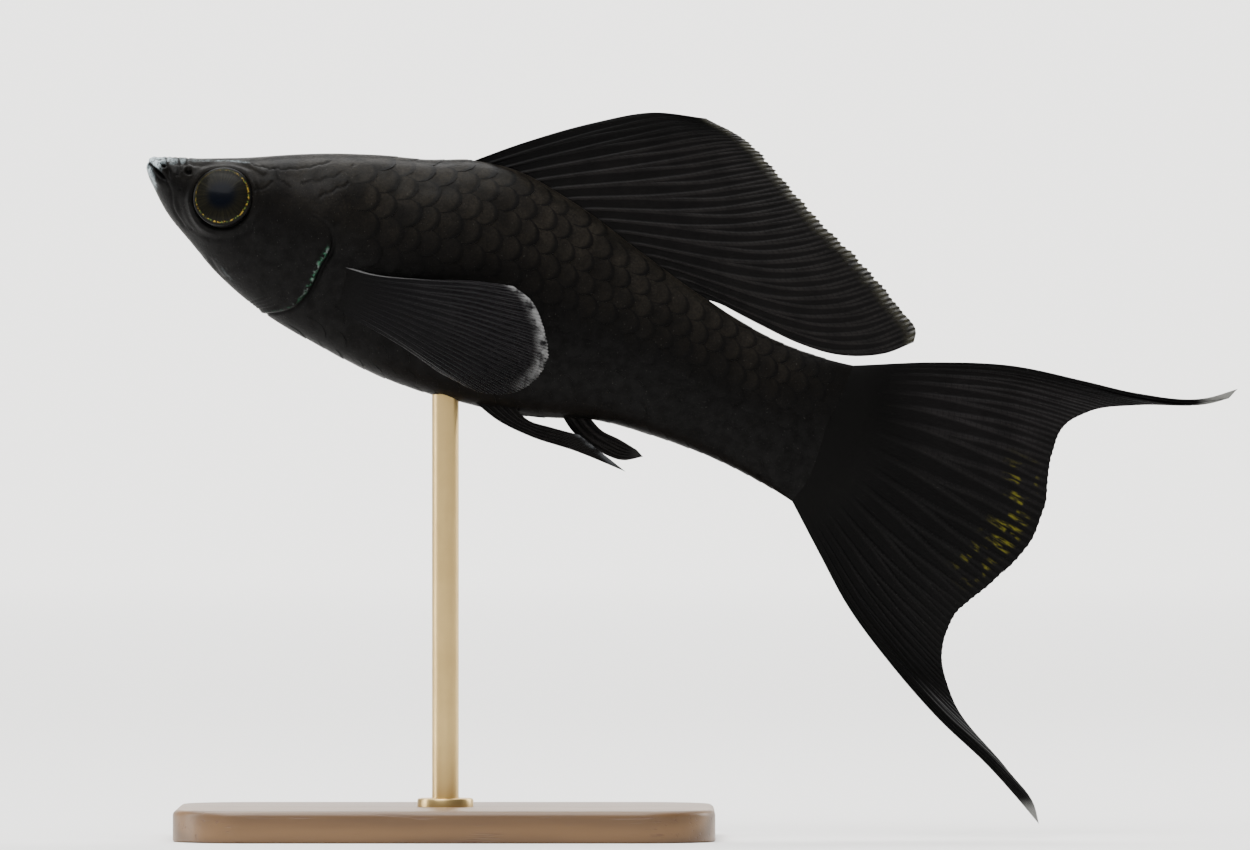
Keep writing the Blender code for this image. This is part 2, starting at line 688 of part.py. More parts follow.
def tail_fin(fish):
    """The tail fin and its two streamers, each a node of its own."""
    half_gap = NODE_GAP / 2
    (cut_top_x, cut_top_z), (cut_low_x, cut_low_z) = LOWER_STREAMER_CUT
    middle = [
        (TAIL_ROOT[-1][0], FAR_UP),
        (UPPER_STREAMER_X - half_gap, FAR_UP),
        (UPPER_STREAMER_X - half_gap, cut_top_z),
        (cut_top_x - half_gap, cut_top_z),
        (cut_low_x - half_gap, cut_low_z),
        (TAIL_ROOT[-1][0], cut_low_z),
    ]
    upper = [
        (UPPER_STREAMER_X + half_gap, FAR_UP),
        (FAR_RIGHT, FAR_UP),
        (FAR_RIGHT, 0.0),
        (UPPER_STREAMER_X + half_gap, 0.0),
    ]
    lower = [
        (cut_top_x + half_gap, cut_top_z),
        (FAR_RIGHT, cut_top_z),
        (FAR_RIGHT, FAR_DOWN),
        (cut_low_x + half_gap, FAR_DOWN),
        (cut_low_x + half_gap, cut_low_z),
    ]
    tail_fin_part("tail_fin", middle, TAIL, fish)
    tail_fin_part("tail_streamer_upper", upper, STREAMER, fish)
    tail_fin_part("tail_streamer_lower", lower, STREAMER, fish)


def pectoral_fin(name, side, clearance, fish):
    """A pectoral fin, swung out from the flank round the upright line of its root."""

    def swell(u, v):
        return ROOT_SWELL * (1 - v) ** 3

    def lean(u, v, x):
        cup = PECTORAL_CUP * math.sin(math.pi * u) * v * (1 - 0.4 * v)
        return side * (cup - PECTORAL_CURL * v * v - PECTORAL_DIP * (1 - v) ** 3)

    lead, trail = curve_through(PECTORAL_LEAD), curve_through(PECTORAL_TRAIL)
    root, margin = straight_root(lead, trail), curve_through(PECTORAL_MARGIN)
    shares = ray_shares(PECTORAL_RAYS)
    rays = fan_of_rays(root, lead, trail, margin, shares, PECTORAL_ROWS)
    made = fin(name, shares, rays, swell, lean, PECTORAL, fish)
    made.location = Vector((PECTORAL_X, side * flank(PECTORAL_X, PECTORAL_Z), PECTORAL_Z)) * MM
    made.rotation_euler = (-side * PECTORAL_ROLL, 0.0, side * PECTORAL_SPLAY)
    return keep_largest(cut(made, clearance), FIN_SHARP_ANGLE)


def pelvic_fin(name, side, clearance, fish):
    def swell(u, v):
        return PELVIC_SWELL * (1 - v)

    def lean(u, v, x):
        return side * (PELVIC_HALF_APART + PELVIC_SPREAD * (x - PELVIC_LEAD[0][0]))

    shares = ray_shares(PELVIC_RAYS)
    rays = even_rays(curve_through(PELVIC_LEAD), curve_through(PELVIC_TRAIL), shares, PELVIC_ROWS)
    made = fin(name, shares, rays, swell, lean, PELVIC, fish)
    return keep_largest(cut(made, clearance), FIN_SHARP_ANGLE)


def anal_fin(clearance, fish):
    """The male's anal fin, drawn out into a stout, narrow point."""

    def swell(u, v):
        return ANAL_SWELL * (1 - u) * (1 - v * v)

    def lean(u, v, x):
        return 0.0

    shares = ray_shares(ANAL_RAYS)
    rays = even_rays(curve_through(ANAL_LEAD), curve_through(ANAL_TRAIL), shares, ANAL_ROWS)
    made = fin("anal_fin", shares, rays, swell, lean, ANAL, fish)
    return keep_largest(cut(made, clearance), FIN_SHARP_ANGLE)


def stand_base():
    """A flat wooden plate with round corners, an eased upper edge and a blind hole for the rod."""
    length, width = BASE_LENGTH / 2 - BASE_CORNER, BASE_WIDTH / 2 - BASE_CORNER
    outline = []
    corners = ((length, width), (-length, width), (-length, -width), (length, -width))
    for quarter, (x, y) in enumerate(corners):
        for step in range(BASE_CORNER_STEPS + 1):
            turn = (quarter + step / BASE_CORNER_STEPS) * math.pi / 2
            outline.append((x, y, math.cos(turn), math.sin(turn)))
    ease_inset = 0.3 * BASE_EDGE
    rings = (
        (0.0, 0.0),
        (0.0, BASE_THICK - BASE_EDGE),
        (ease_inset, BASE_THICK - ease_inset),
        (BASE_EDGE, BASE_THICK),
    )
    points = [
        (x + (BASE_CORNER - inset) * across, y + (BASE_CORNER - inset) * along, height)
        for inset, height in rings
        for x, y, across, along in outline
    ]
    count = len(outline)
    faces = [tuple(range(count)), tuple(range(len(points) - count, len(points)))]
    for here in range(0, len(points) - count, count):
        for i in range(count):
            j = (i + 1) % count
            faces.append((here + i, here + j, here + count + j, here + count + i))
    made = solid("stand_base", points, faces, WOOD)
    hole = rod("rod_hole", ROD_RADIUS + NODE_GAP, BASE_THICK - ROD_IN_BASE - NODE_GAP, 2 * BASE_THICK)
    cut(made, cutter(hole))
    bpy.data.objects.remove(hole)
    return keep_largest(made)


def belly_height_over_rod():
    """How high above the floor the belly is, at the rod's axis."""
    xs = np.linspace(20.0, 40.0, 401)
    world_x = xs * math.cos(NOSE_UP) + belly(xs) * math.sin(NOSE_UP) - SNOUT_BEFORE_ROD
    world_z = belly(xs) * math.cos(NOSE_UP) - xs * math.sin(NOSE_UP) + SNOUT_HEIGHT
    return float(world_z[np.argmin(abs(world_x))])


def rod(name, radius, bottom, top):
    return turned(name, [(0, top), (radius, top), (radius, bottom), (0, bottom)], METAL, ROD_SIDES)


def main():
    clear_scene()
    fish = bpy.data.objects.new("fish_pose", None)
    bpy.context.scene.collection.objects.link(fish)
    fish.location = Vector((-SNOUT_BEFORE_ROD, 0.0, SNOUT_HEIGHT)) * MM
    fish.rotation_euler = (0.0, NOSE_UP, 0.0)
    bpy.context.view_layer.update()

    head(fish)
    torso = trunk_between("torso", GILL_EDGE, STEM_EDGE, np.arange(*TORSO_STATIONS), TORSO_SKIN, fish)
    trunk_between("tail_stem", STEM_EDGE, TAIL_ROOT, np.arange(*STEM_STATIONS), STEM_SKIN, fish)
    for name, side in (("eye_left", -1), ("eye_right", 1)):
        eye(name, side, fish)

    whole = (TORSO_STATIONS[0], TAIL_ROOT[-2][0] + 2.0, TORSO_STATIONS[2])
    clearance = cutter(trunk("clearance", np.arange(*whole), TORSO_SKIN, fish, grow=NODE_GAP))
    dorsal_fin(clearance, fish)
    tail_fin(fish)
    anal_fin(clearance, fish)
    for side_name, side in (("left", -1), ("right", 1)):
        pectoral_fin("pectoral_fin_" + side_name, side, clearance, fish)
        pelvic_fin("pelvic_fin_" + side_name, side, clearance, fish)
    bpy.data.objects.remove(clearance)

    stand_base()
    rod_top = belly_height_over_rod() + ROD_IN_BELLY
    rod("stand_rod", ROD_RADIUS, BASE_THICK - ROD_IN_BASE, rod_top)
    hole = cutter(rod("belly_hole", ROD_RADIUS + NODE_GAP, 2 * BASE_THICK, rod_top + NODE_GAP))
    keep_largest(cut(torso, hole))
    bpy.data.objects.remove(hole)


main()
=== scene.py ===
"""A black lyretail molly, life size, hovering nose up on a wooden display stand.

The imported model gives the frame. The fish is worked out level, in millimetres, with its snout tip at the
origin, its tail towards +X, its back towards +Z and its left side towards -Y, and is then tipped nose up
over the stand. A finished piece is in metres, with its place in its mesh.
"""

import math

import bmesh
import bpy
import numpy as np
from mathutils import Euler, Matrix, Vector


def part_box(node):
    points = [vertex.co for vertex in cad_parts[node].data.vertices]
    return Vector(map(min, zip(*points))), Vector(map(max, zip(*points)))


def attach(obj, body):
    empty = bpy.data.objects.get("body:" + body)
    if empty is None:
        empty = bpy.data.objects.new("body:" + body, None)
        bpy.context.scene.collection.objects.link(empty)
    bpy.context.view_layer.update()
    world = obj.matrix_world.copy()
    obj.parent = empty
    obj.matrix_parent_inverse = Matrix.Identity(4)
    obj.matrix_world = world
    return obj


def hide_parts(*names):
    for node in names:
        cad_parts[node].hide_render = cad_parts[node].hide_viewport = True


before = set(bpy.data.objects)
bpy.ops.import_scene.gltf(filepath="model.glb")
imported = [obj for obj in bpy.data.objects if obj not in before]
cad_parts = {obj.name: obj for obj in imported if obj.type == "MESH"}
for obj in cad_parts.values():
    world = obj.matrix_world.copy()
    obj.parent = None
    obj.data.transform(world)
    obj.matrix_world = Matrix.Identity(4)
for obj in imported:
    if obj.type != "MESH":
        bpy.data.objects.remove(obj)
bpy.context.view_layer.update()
MM = 0.001


# The studio is a pale floor that sweeps up into a backdrop behind the model, with no seam
# where the two meet. It is painted matt and isn't part of the model.
SWEEP_FRONT, SWEEP_BACK, SWEEP_HALF_WIDTH = -3200.0, 2200.0, 3200.0
SWEEP_RADIUS, SWEEP_TOP = 900.0, 1800.0
SWEEP_STEPS = 40
SWEEP_COLOR = (0.80, 0.79, 0.77, 1.0)


class Wire:
    """One output of a node, which Python's operators turn into Math nodes."""

    def __init__(self, tree, socket):
        self.tree, self.socket = tree, socket

    def math(self, operation, *values):
        return self.tree.node("ShaderNodeMath", {"operation": operation}, dict(enumerate(values)))

    def __add__(self, other):
        return self.math("ADD", self, other)

    def __sub__(self, other):
        return self.math("SUBTRACT", self, other)

    def __rsub__(self, other):
        return self.math("SUBTRACT", other, self)

    def __mul__(self, other):
        return self.math("MULTIPLY", self, other)

    def __abs__(self):
        return self.math("ABSOLUTE", self)

    __radd__, __rmul__ = __add__, __mul__


class Tree:
    """A node tree under construction, of a material or of Geometry Nodes."""

    def __init__(self, tree):
        self.tree = tree

    def put(self, socket, value):
        if isinstance(value, Wire):
            self.tree.links.new(value.socket, socket)
        else:
            socket.default_value = value

    def node(self, kind, settings=None, sockets=None, output=0):
        """Adds a node with its settings and the values or links of its sockets, and gives one output."""
        made = self.tree.nodes.new(kind)
        for name, value in (settings or {}).items():
            setattr(made, name, value)
        for name, value in (sockets or {}).items():
            self.put(made.inputs[name], value)
        return Wire(self, made.outputs[output]) if output is not None else None

    def vector(self, operation, sockets, output=0):
        return self.node("ShaderNodeVectorMath", {"operation": operation}, sockets, output)

    def blend(self, share, under, over):
        """A colour that goes from under to over as share goes from 0 to 1."""
        return self.node("ShaderNodeMix", {"data_type": "RGBA"}, {0: share, 6: under, 7: over}, 2)

    def step(self, value, low, high):
        """Goes smoothly from 0 at low to 1 at high."""
        sockets = {"Value": value, "From Min": low, "From Max": high}
        return self.node("ShaderNodeMapRange", {"interpolation_type": "SMOOTHSTEP"}, sockets)

    def attribute(self, name, output="Fac"):
        return self.node("ShaderNodeAttribute", {"attribute_name": name}, output=output)

    def noise(self, place, scale, detail=3.0, roughness=0.55):
        sockets = {"Vector": place, "Scale": scale, "Detail": detail, "Roughness": roughness}
        return self.node("ShaderNodeTexNoise", sockets=sockets)


class Finish(Tree):
    """A material with a Principled shader, whose constant sockets are given by name."""

    def __init__(self, name, **constants):
        self.material = bpy.data.materials.new(name)
        self.material.use_nodes = True
        super().__init__(self.material.node_tree)
        self.shader = self.tree.nodes["Principled BSDF"]
        self.feed(**constants)

    def feed(self, **sockets):
        for name, value in sockets.items():
            self.put(self.shader.inputs[name.replace("_", " ")], value)

    def place(self, **sockets):
        """Object coordinates through a Mapping node, in millimetres unless a scale is given."""
        where = self.node("ShaderNodeTexCoord", output="Object")
        sockets = {"Scale": (1 / MM,) * 3, **sockets}
        return self.node("ShaderNodeMapping", sockets={"Vector": where, **sockets})

    def bump(self, height, strength, distance):
        """Feeds the surface a relief, whose depth is in metres."""
        sockets = {"Height": height, "Strength": strength, "Distance": distance}
        self.feed(Normal=self.node("ShaderNodeBump", sockets=sockets))


def piece(name, points, faces, finish):
    """A mesh object from points in world millimetres."""
    mesh = bpy.data.meshes.new(name)
    mesh.from_pydata((np.asarray(points, float) * MM).tolist(), [], faces)
    mesh.materials.append(finish.material)
    mesh.shade_smooth()
    obj = bpy.data.objects.new(name, mesh)
    bpy.context.scene.collection.objects.link(obj)
    return obj


def grid_faces(rows, columns, wrap=False):
    """The quads of a grid of points that lie row by row, closed from the last column to the first or not."""
    row, column = np.mgrid[0 : rows - 1, 0 : columns if wrap else columns - 1]
    after = (column + 1) % columns
    here, beyond = row * columns, (row + 1) * columns
    corners = [here + column, here + after, beyond + after, beyond + column]
    return np.stack([c.ravel() for c in corners], 1).tolist()


paint = Finish("studio_paint", Base_Color=SWEEP_COLOR, Roughness=0.9)
turns = np.linspace(0, math.pi / 2, SWEEP_STEPS)
curve = [(SWEEP_BACK + SWEEP_RADIUS * math.sin(t), SWEEP_RADIUS * (1 - math.cos(t))) for t in turns]
curve = [(SWEEP_FRONT, 0.0), *curve, (SWEEP_BACK + SWEEP_RADIUS, SWEEP_TOP)]
points = [(x, y, z) for y, z in curve for x in (SWEEP_HALF_WIDTH, -SWEEP_HALF_WIDTH)]
sweep = piece("studio_sweep", points, grid_faces(len(curve), 2), paint)


# The base of the stand is one plate of oak with round corners and an eased upper edge, cut from a
# plank with its grain lengthwise, sanded and oiled. The rod stands in a blind hole in its middle.
BASE_LENGTH, BASE_WIDTH, BASE_THICK = 44.0, 30.0, 2.6
BASE_CORNER, BASE_EDGE = 6.0, 0.5
BASE_CORNER_STEPS, BASE_EDGE_STEPS = 24, 6
FOOT_EASE = 0.12
HEART_AT, HEART_TURN = (0.0, 21.0, -9.0), (0.04, 0.0, 0.05)
RING_SCALE, PORE_SCALE = (90.0, 900.0, 900.0), (160.0, 3600.0, 3600.0)
RING_SHARE, FIGURE_SHARE, PORE_DEEP = 0.22, 0.78, 0.00006
OAK_LIGHT, OAK_DARK = (0.17, 0.092, 0.036, 1.0), (0.072, 0.036, 0.014, 1.0)
OAK_PORE = (0.09, 0.04, 0.018, 1.0)

oak = Finish("oiled_oak", Roughness=0.42, Coat_Weight=0.15, Coat_Roughness=0.3)
rings_at = oak.place(Location=HEART_AT, Rotation=HEART_TURN, Scale=RING_SCALE)
figure = 0.6 * oak.noise(rings_at, 0.09, 2.0) + 0.4 * oak.noise(rings_at, 0.5, 3.0)
rings = oak.node("ShaderNodeTexWave", {"wave_type": "RINGS", "rings_direction": "X"},
                 {"Vector": rings_at, "Scale": 0.13, "Distortion": 9.0, "Detail": 4.0, "Detail Scale": 0.9})
pores = oak.step(oak.noise(oak.place(Scale=PORE_SCALE), 1.0, 2.0), 0.60, 0.72)
grain = rings * RING_SHARE + figure * FIGURE_SHARE
wood = oak.blend(oak.step(grain, 0.25, 0.8), OAK_LIGHT, OAK_DARK)
oak.feed(Base_Color=oak.blend(pores * 0.6, wood, OAK_PORE), Roughness=0.38 + 0.14 * grain + 0.1 * pores)
oak.bump(1.0 - pores, 0.5, PORE_DEEP)



def capped_faces(rows, columns):
    """The faces of a stack of rings, each a row of points, that is closed flat at its foot and its top."""
    foot, top = list(range(columns)), list(range((rows - 1) * columns, rows * columns))
    return grid_faces(rows, columns, wrap=True) + [foot[::-1], top]


outline = []
for quarter, (x, y) in enumerate(((1, 1), (-1, 1), (-1, -1), (1, -1))):
    for turn in (quarter + np.linspace(0, 1, BASE_CORNER_STEPS + 1)) * math.pi / 2:
        middle = (x * (BASE_LENGTH / 2 - BASE_CORNER), y * (BASE_WIDTH / 2 - BASE_CORNER))
        outline.append((*middle, math.cos(turn), math.sin(turn)))
edge = [(FOOT_EASE, 0.0), (0.0, FOOT_EASE)]
for turn in np.linspace(0, math.pi / 2, BASE_EDGE_STEPS + 1):
    edge.append((BASE_EDGE * (1 - math.cos(turn)), BASE_THICK - BASE_EDGE * (1 - math.sin(turn))))
points = [
    (x + (BASE_CORNER - inset) * across, y + (BASE_CORNER - inset) * along, height)
    for inset, height in edge
    for x, y, across, along in outline
]
base = piece("base_plate", points, capped_faces(len(edge), len(outline)), oak)
base.data.set_sharp_from_angle(angle=math.radians(40))
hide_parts("stand_base")
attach(base, "root")


# The rod is drawn brass, brushed lengthwise and lacquered, pressed into the base through a thin
# turned collar and run up into the belly, where it bears the fish just ahead of its pelvic fins.
ROD_RADIUS, ROD_SIDES = 1.1, 64
ROD_HOLE = 1.3
ROD_FOOT, ROD_TOP = BASE_THICK - ROD_HOLE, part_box("stand_rod")[1].z / MM
COLLAR_RADIUS, COLLAR_HEIGHT, COLLAR_EDGE = 2.3, 0.7, 0.2
BRUSH_SCALE, BRUSH_DEEP = (9000.0, 9000.0, 260.0), 0.00002
BRASS_LIGHT, BRASS_DARK = (0.66, 0.47, 0.20, 1.0), (0.42, 0.28, 0.11, 1.0)

brass = Finish("brushed_brass", Metallic=1.0)
brushed = brass.noise(brass.place(Scale=BRUSH_SCALE), 1.0, 3.0)
stain = brass.noise(brass.place(), 0.16, 4.0)
brass.feed(Base_Color=brass.blend(brass.step(stain, 0.35, 0.75) * 0.5, BRASS_LIGHT, BRASS_DARK),
           Roughness=0.22 + 0.16 * brushed + 0.12 * stain)
brass.bump(brushed, 0.25, BRUSH_DEEP)


def full_turn(steps):
    return np.arange(steps) * 2 * math.pi / steps


profile = [
    (ROD_RADIUS, ROD_FOOT), (ROD_RADIUS, BASE_THICK), (COLLAR_RADIUS, BASE_THICK),
    (COLLAR_RADIUS, BASE_THICK + COLLAR_HEIGHT - COLLAR_EDGE),
    (COLLAR_RADIUS - 0.3 * COLLAR_EDGE, BASE_THICK + COLLAR_HEIGHT - 0.3 * COLLAR_EDGE),
    (COLLAR_RADIUS - COLLAR_EDGE, BASE_THICK + COLLAR_HEIGHT), (ROD_RADIUS, BASE_THICK + COLLAR_HEIGHT),
    (ROD_RADIUS, BASE_THICK + 2 * COLLAR_HEIGHT), (ROD_RADIUS, ROD_TOP),
]
turns = full_turn(ROD_SIDES)
points = [(radius * math.cos(t), radius * math.sin(t), height) for radius, height in profile for t in turns]
rod = piece("rod", points, capped_faces(len(profile), ROD_SIDES), brass)
rod.data.set_sharp_from_angle(angle=math.radians(35))
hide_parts("stand_rod")
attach(rod, "root")


# The skin wraps the head, the trunk and the fleshy root of the tail in one piece. It is near black,
# browner towards the back, a brown that also paints in the light falling from above, with a bluish
# white snout that is partly the pale lips and partly painted highlight, and carries the lips, nostrils,
# brows, eye sockets, cheek grooves and the free edge of the gill covers. A painted green sheen lies
# along that free edge, and painted shade darkens the mouth, the nostrils, the creases, the cracks and
# the strip under the free edge.
NOSE_UP = math.radians(21.0)
SNOUT_AT = (-24.3, 0.0, 55.0)
BACK_LINE = (
    (-0.1, 0.5), (0.06, 0.66), (0.5, 0.88), (1.1, 1.12), (3.0, 1.75), (6.8, 3.25), (11.3, 5.3), (17.2, 7.6),
    (21.3, 8.75), (24.6, 10.0), (27.6, 10.5), (33.9, 9.7), (40.2, 7.95), (45.6, 6.5), (53.4, 5.1),
    (59.0, 5.4), (63.0, 6.2),
)
BELLY_LINE = (
    (-0.1, -0.1), (0.06, -0.34), (0.38, -0.84), (1.1, -1.56), (2.4, -2.75), (5.6, -4.7), (9.0, -6.5),
    (12.5, -7.75), (18.5, -8.9), (24.5, -9.45), (30.0, -9.15), (36.5, -8.1), (41.7, -6.45), (46.0, -6.0),
    (53.0, -6.0), (58.6, -6.85), (63.0, -8.0),
)
HALF_WIDTH = (
    (-0.1, 1.15), (0.6, 1.9), (2.0, 2.6), (4.5, 3.45), (8.0, 4.25), (13.0, 4.75), (20.0, 4.85),
    (26.0, 4.6), (33.0, 3.95), (40.0, 3.2), (48.0, 2.4), (54.0, 1.75), (59.0, 1.15), (63.0, 0.7),
)
WIDEST_SHARE = ((-0.1, 0.5), (6.0, 0.6), (14.0, 0.56), (26.0, 0.5), (63.0, 0.5))
SQUARE_ABOVE = ((-0.1, 2.4), (5.0, 2.8), (12.0, 2.4), (20.0, 2.1), (63.0, 2.0))
SQUARE_BELOW = ((-0.1, 2.0), (6.0, 1.75), (14.0, 1.9), (24.0, 2.1), (63.0, 2.0))
GILL_EDGE = (
    (14.7, 4.4), (15.4, 2.4), (16.2, 0.3), (16.5, -1.1), (16.25, -2.4), (16.15, -4.0), (15.95, -5.3),
    (15.2, -6.7), (14.2, -7.45), (13.2, -7.95), (11.9, -12.0),
)
GILL_FLARE, GILL_FLARE_FROM, GILL_FLARE_TO = 0.38, 11.0, 16.8
GILL_TOP = (-1.6, 1.5)
GILL_CREASE = ((16.6, -1.6), (16.45, -0.5), (15.9, 0.4), (14.6, 0.85), (12.9, 1.1))
CREASE_FROM, CREASE_DEPTH, CREASE_WIDTH = (12.9, 14.4), 0.09, 0.13
TAIL_ROOT = ((59.9, 5.6), (61.4, 2.4), (61.7, -1.2), (60.7, -4.6), (58.9, -7.0))
STEM_BENDS_FROM, STEM_CLOSES_FROM, STEM_END = 52.0, 56.5, 61.7
SNOUT, SNOUT_REACH = 0.04, 0.14
SKIN_COLUMNS, HEAD_END = 256, 18.0
HEAD_STEP, TRUNK_STEP = 0.085, 0.34
HEAD_INSET, SCALED_INSET, SCALED_FROM = 0.02, 0.14, (12.5, 18.0)

MOUTH_CORNER, MOUTH_TIP = (1.9, -0.62), (-0.5, 0.42)
LIP_RISE, LIP_WIDTH, LIP_APART = 0.16, 0.27, 0.42
MOUTH_DEPTH, MOUTH_WIDTH = 0.34, 0.12
LIPS_GROW = (-0.1, 1.0)
NOSTRILS, NOSTRIL_DEPTH, NOSTRIL_RIM = ((1.3, 0.42, 0.18), (3.4, 0.7, 0.22)), 0.4, 0.09
EYE_X, EYE_Z, EYE_RADIUS, EYE_DOME = 6.75, -0.25, 2.45, 0.55
EYE_TURN_FORWARD, EYE_TURN_UP = math.radians(13.0), math.radians(9.0)
SOCKET_DEPTH, SOCKET_RISE = 1.0, 0.5
SOCKET_WALL, SOCKET_RINGS = (2.1, 2.5), ((0.07, 2.74, 0.16), (-0.05, 3.2, 0.2))
BROW = ((2.1, 1.2), (3.9, 1.75), (5.3, 2.35), (6.8, 2.85), (8.0, 3.05), (9.2, 2.8))
SNOUT_FOLDS = (
    ((1.3, 1.1), (1.65, 0.5), (2.2, -0.3)), ((2.1, 1.5), (2.5, 0.8), (2.7, 0.1)),
    ((2.9, 1.75), (3.0, 1.2), (2.8, 0.6)),
)
FOLD_DEPTH, FOLD_WIDTH, FOLD_LIP = 0.05, 0.08, (0.03, 0.22, 0.14)
WRINKLE_HEIGHT, WRINKLED_X, WRINKLED_Z = 0.03, (2.2, 4.0), (-0.9, 0.2)
NAPE_CRACKS = (
    ((8.1, 3.0), (9.9, 3.4), (10.9, 3.75), (12.7, 4.7), (13.9, 5.6)),
    ((12.3, 3.1), (13.7, 3.9), (15.5, 5.5), (16.1, 6.6)),
    ((14.2, 2.6), (15.7, 4.2), (16.6, 5.4), (17.8, 6.5)),
    ((8.9, 1.0), (9.7, 1.7), (10.1, 2.2)), ((9.9, 3.4), (10.6, 2.7), (11.6, 2.5)),
)
CRACK_DEPTH, CRACK_WIDTH = 0.06, 0.075
# A painted highlight lies along this line on the jaw.
JAW_HIGHLIGHT_LINE = ((8.0, -5.2), (9.0, -5.9), (9.9, -6.4))
CHEEK_GROOVE = ((9.3, 0.6), (9.7, -1.35), (10.37, -3.54), (10.1, -5.3), (9.3, -6.3), (7.6, -5.4))
JAW_GROOVE = ((1.95, -0.66), (2.5, -1.15), (3.3, -2.6), (4.6, -3.6))
UNDER_EYE = ((3.4, -1.9), (4.4, -3.1), (6.2, -3.75), (8.2, -3.45), (9.6, -2.3))
PORES = (
    (2.6, 0.0), (3.3, -0.9), (4.0, -2.4), (5.3, -3.6), (7.0, -3.95), (8.8, -3.3), (9.9, -1.9), (10.5, 0.4),
    (10.1, 2.3), (8.0, 3.1), (5.4, 2.75), (10.9, -3.4), (10.6, -5.2), (9.0, -5.7),
)
PORE_DEPTH, PORE_RADIUS = 0.07, 0.08
THROAT_RAYS, THROAT_RAY_AT, THROAT_RAY_APART = 4, 0.9, 0.5
THROAT_RAY_DEPTH, THROAT_RAY_WIDTH = 0.06, 0.09

# Ridges and grooves: the line, how far it is moved towards -X and -Z, its height and its width
HEAD_LINES = (
    (BROW, 0.0, 0.0, 0.09, 0.2), (BROW, 0.0, 0.36, -0.05, 0.14),
    (CHEEK_GROOVE, 0.0, 0.0, -0.06, 0.14), (CHEEK_GROOVE, 0.4, 0.0, 0.03, 0.3),
    (JAW_GROOVE, 0.0, 0.0, -0.06, 0.12), (UNDER_EYE, 0.0, 0.0, -0.03, 0.16),
)
# Ridges and grooves along the free edge of the gill cover: height, place ahead of the edge and width
GILL_RIMS = ((0.07, 0.32, 0.2), (-0.10, -0.22, 0.16))

# The brown colour is the back's tint and also paints in the light falling on the back from above.
SKIN_DARK, SKIN_BROWN = (0.0023, 0.0022, 0.0021, 1.0), (0.0150, 0.0128, 0.0098, 1.0)
# The pale colour is that of the pale lips and of the painted highlights on the head.
SKIN_PALE, SKIN_GLEAM_GREEN = (0.34, 0.40, 0.42, 1.0), (0.03, 0.13, 0.07, 1.0)
# The green colour on the line above and the first colour on this line paint a sheen along the gill covers'
# free edge.
SKIN_GLEAM_PALE, SKIN_DUST = (0.16, 0.19, 0.18, 1.0), (0.25, 0.24, 0.22, 1.0)
# The pit colour is painted shade.
SKIN_PIT_SHADE = (0.002, 0.002, 0.002, 1.0)
SKIN_GRAIN_DEEP = 0.00005


def height_along(points):
    """A smooth line through points, as a function from their first coordinate to their second."""
    along, high = np.array(points, float).T
    slope = np.gradient(high, along)

    def value(x):
        x = np.clip(x, along[0], along[-1])
        i = np.clip(np.searchsorted(along, x) - 1, 0, len(along) - 2)
        span = along[i + 1] - along[i]
        t = (x - along[i]) / span
        start, end = (1 + 2 * t) * (1 - t) ** 2, t * t * (3 - 2 * t)
        lead, trail = t * (1 - t) ** 2, t * t * (1 - t)
        return start * high[i] + end * high[i + 1] + span * (lead * slope[i] - trail * slope[i + 1])

    return value


def curve_through(points):
    """A smooth curve through points, as a function of the share of its length, from 0 to 1."""
    points = np.array(points, float)
    steps = np.linalg.norm(np.diff(points, axis=0), axis=1)
    share = np.concatenate([[0.0], np.cumsum(steps)]) / steps.sum()
    ways = [height_along(np.column_stack([share, column])) for column in points.T]
    return lambda t: np.array([way(t) for way in ways])


def ease(value, low=0.0, high=1.0):
    """Goes smoothly from 0 at low to 1 at high."""
    t = np.clip((value - low) / (high - low), 0.0, 1.0)
    return t * t * (3 - 2 * t)


def hump(distance, width):
    return np.exp(-((distance / width) ** 2))


def far_from(points, x, z, steps=60):
    """The distance in the side view from each place to a smooth curve through points."""
    line = curve_through(points)(np.linspace(0, 1, steps)).T
    found = np.full(np.shape(x), np.inf)
    for (ax, az), (bx, bz) in zip(line, line[1:]):
        dx, dz = bx - ax, bz - az
        t = np.clip(((x - ax) * dx + (z - az) * dz) / (dx * dx + dz * dz), 0, 1)
        found = np.minimum(found, np.hypot(x - ax - t * dx, z - az - t * dz))
    return found


def jagged(points, x, z):
    """The distance to a line that wanders a little, like a crack."""
    across = x + 0.07 * np.sin(5.3 * z + 2.1 * x)
    return far_from(points, across, z + 0.06 * np.sin(6.1 * x) + 0.03 * np.sin(14.7 * x))


def posed(points):
    """Level points tipped nose up and lifted over the stand, all in millimetres."""
    x, y, z = np.moveaxis(np.asarray(points, float), -1, 0)
    level, rise = math.cos(NOSE_UP), math.sin(NOSE_UP)
    return np.stack([x * level + z * rise, y, z * level - x * rise], -1) + np.array(SNOUT_AT)


back, belly, half_width = height_along(BACK_LINE), height_along(BELLY_LINE), height_along(HALF_WIDTH)
widest_share = height_along(WIDEST_SHARE)
square_above, square_below = height_along(SQUARE_ABOVE), height_along(SQUARE_BELOW)
gill_curve = curve_through(GILL_EDGE)(np.linspace(0, 1, 80))
tail_root_curve = curve_through(TAIL_ROOT)(np.linspace(0, 1, 80))


def gill_edge_x(z):
    return np.interp(z, gill_curve[1][::-1], gill_curve[0][::-1])


def tail_root_x(z):
    return np.interp(z, tail_root_curve[1][::-1], tail_root_curve[0][::-1])


def widest_level(x):
    return belly(x) + widest_share(x) * (back(x) - belly(x))


def flank(x, z):
    """Half of the trunk's width at a place in the side view."""
    level = widest_level(x)
    power = np.where(z > level, square_above(x), square_below(x))
    reach = np.where(z > level, back(x), belly(x)) - level
    return half_width(x) * (1 - np.clip((z - level) / reach, 0, 1) ** power) ** (1 / power)


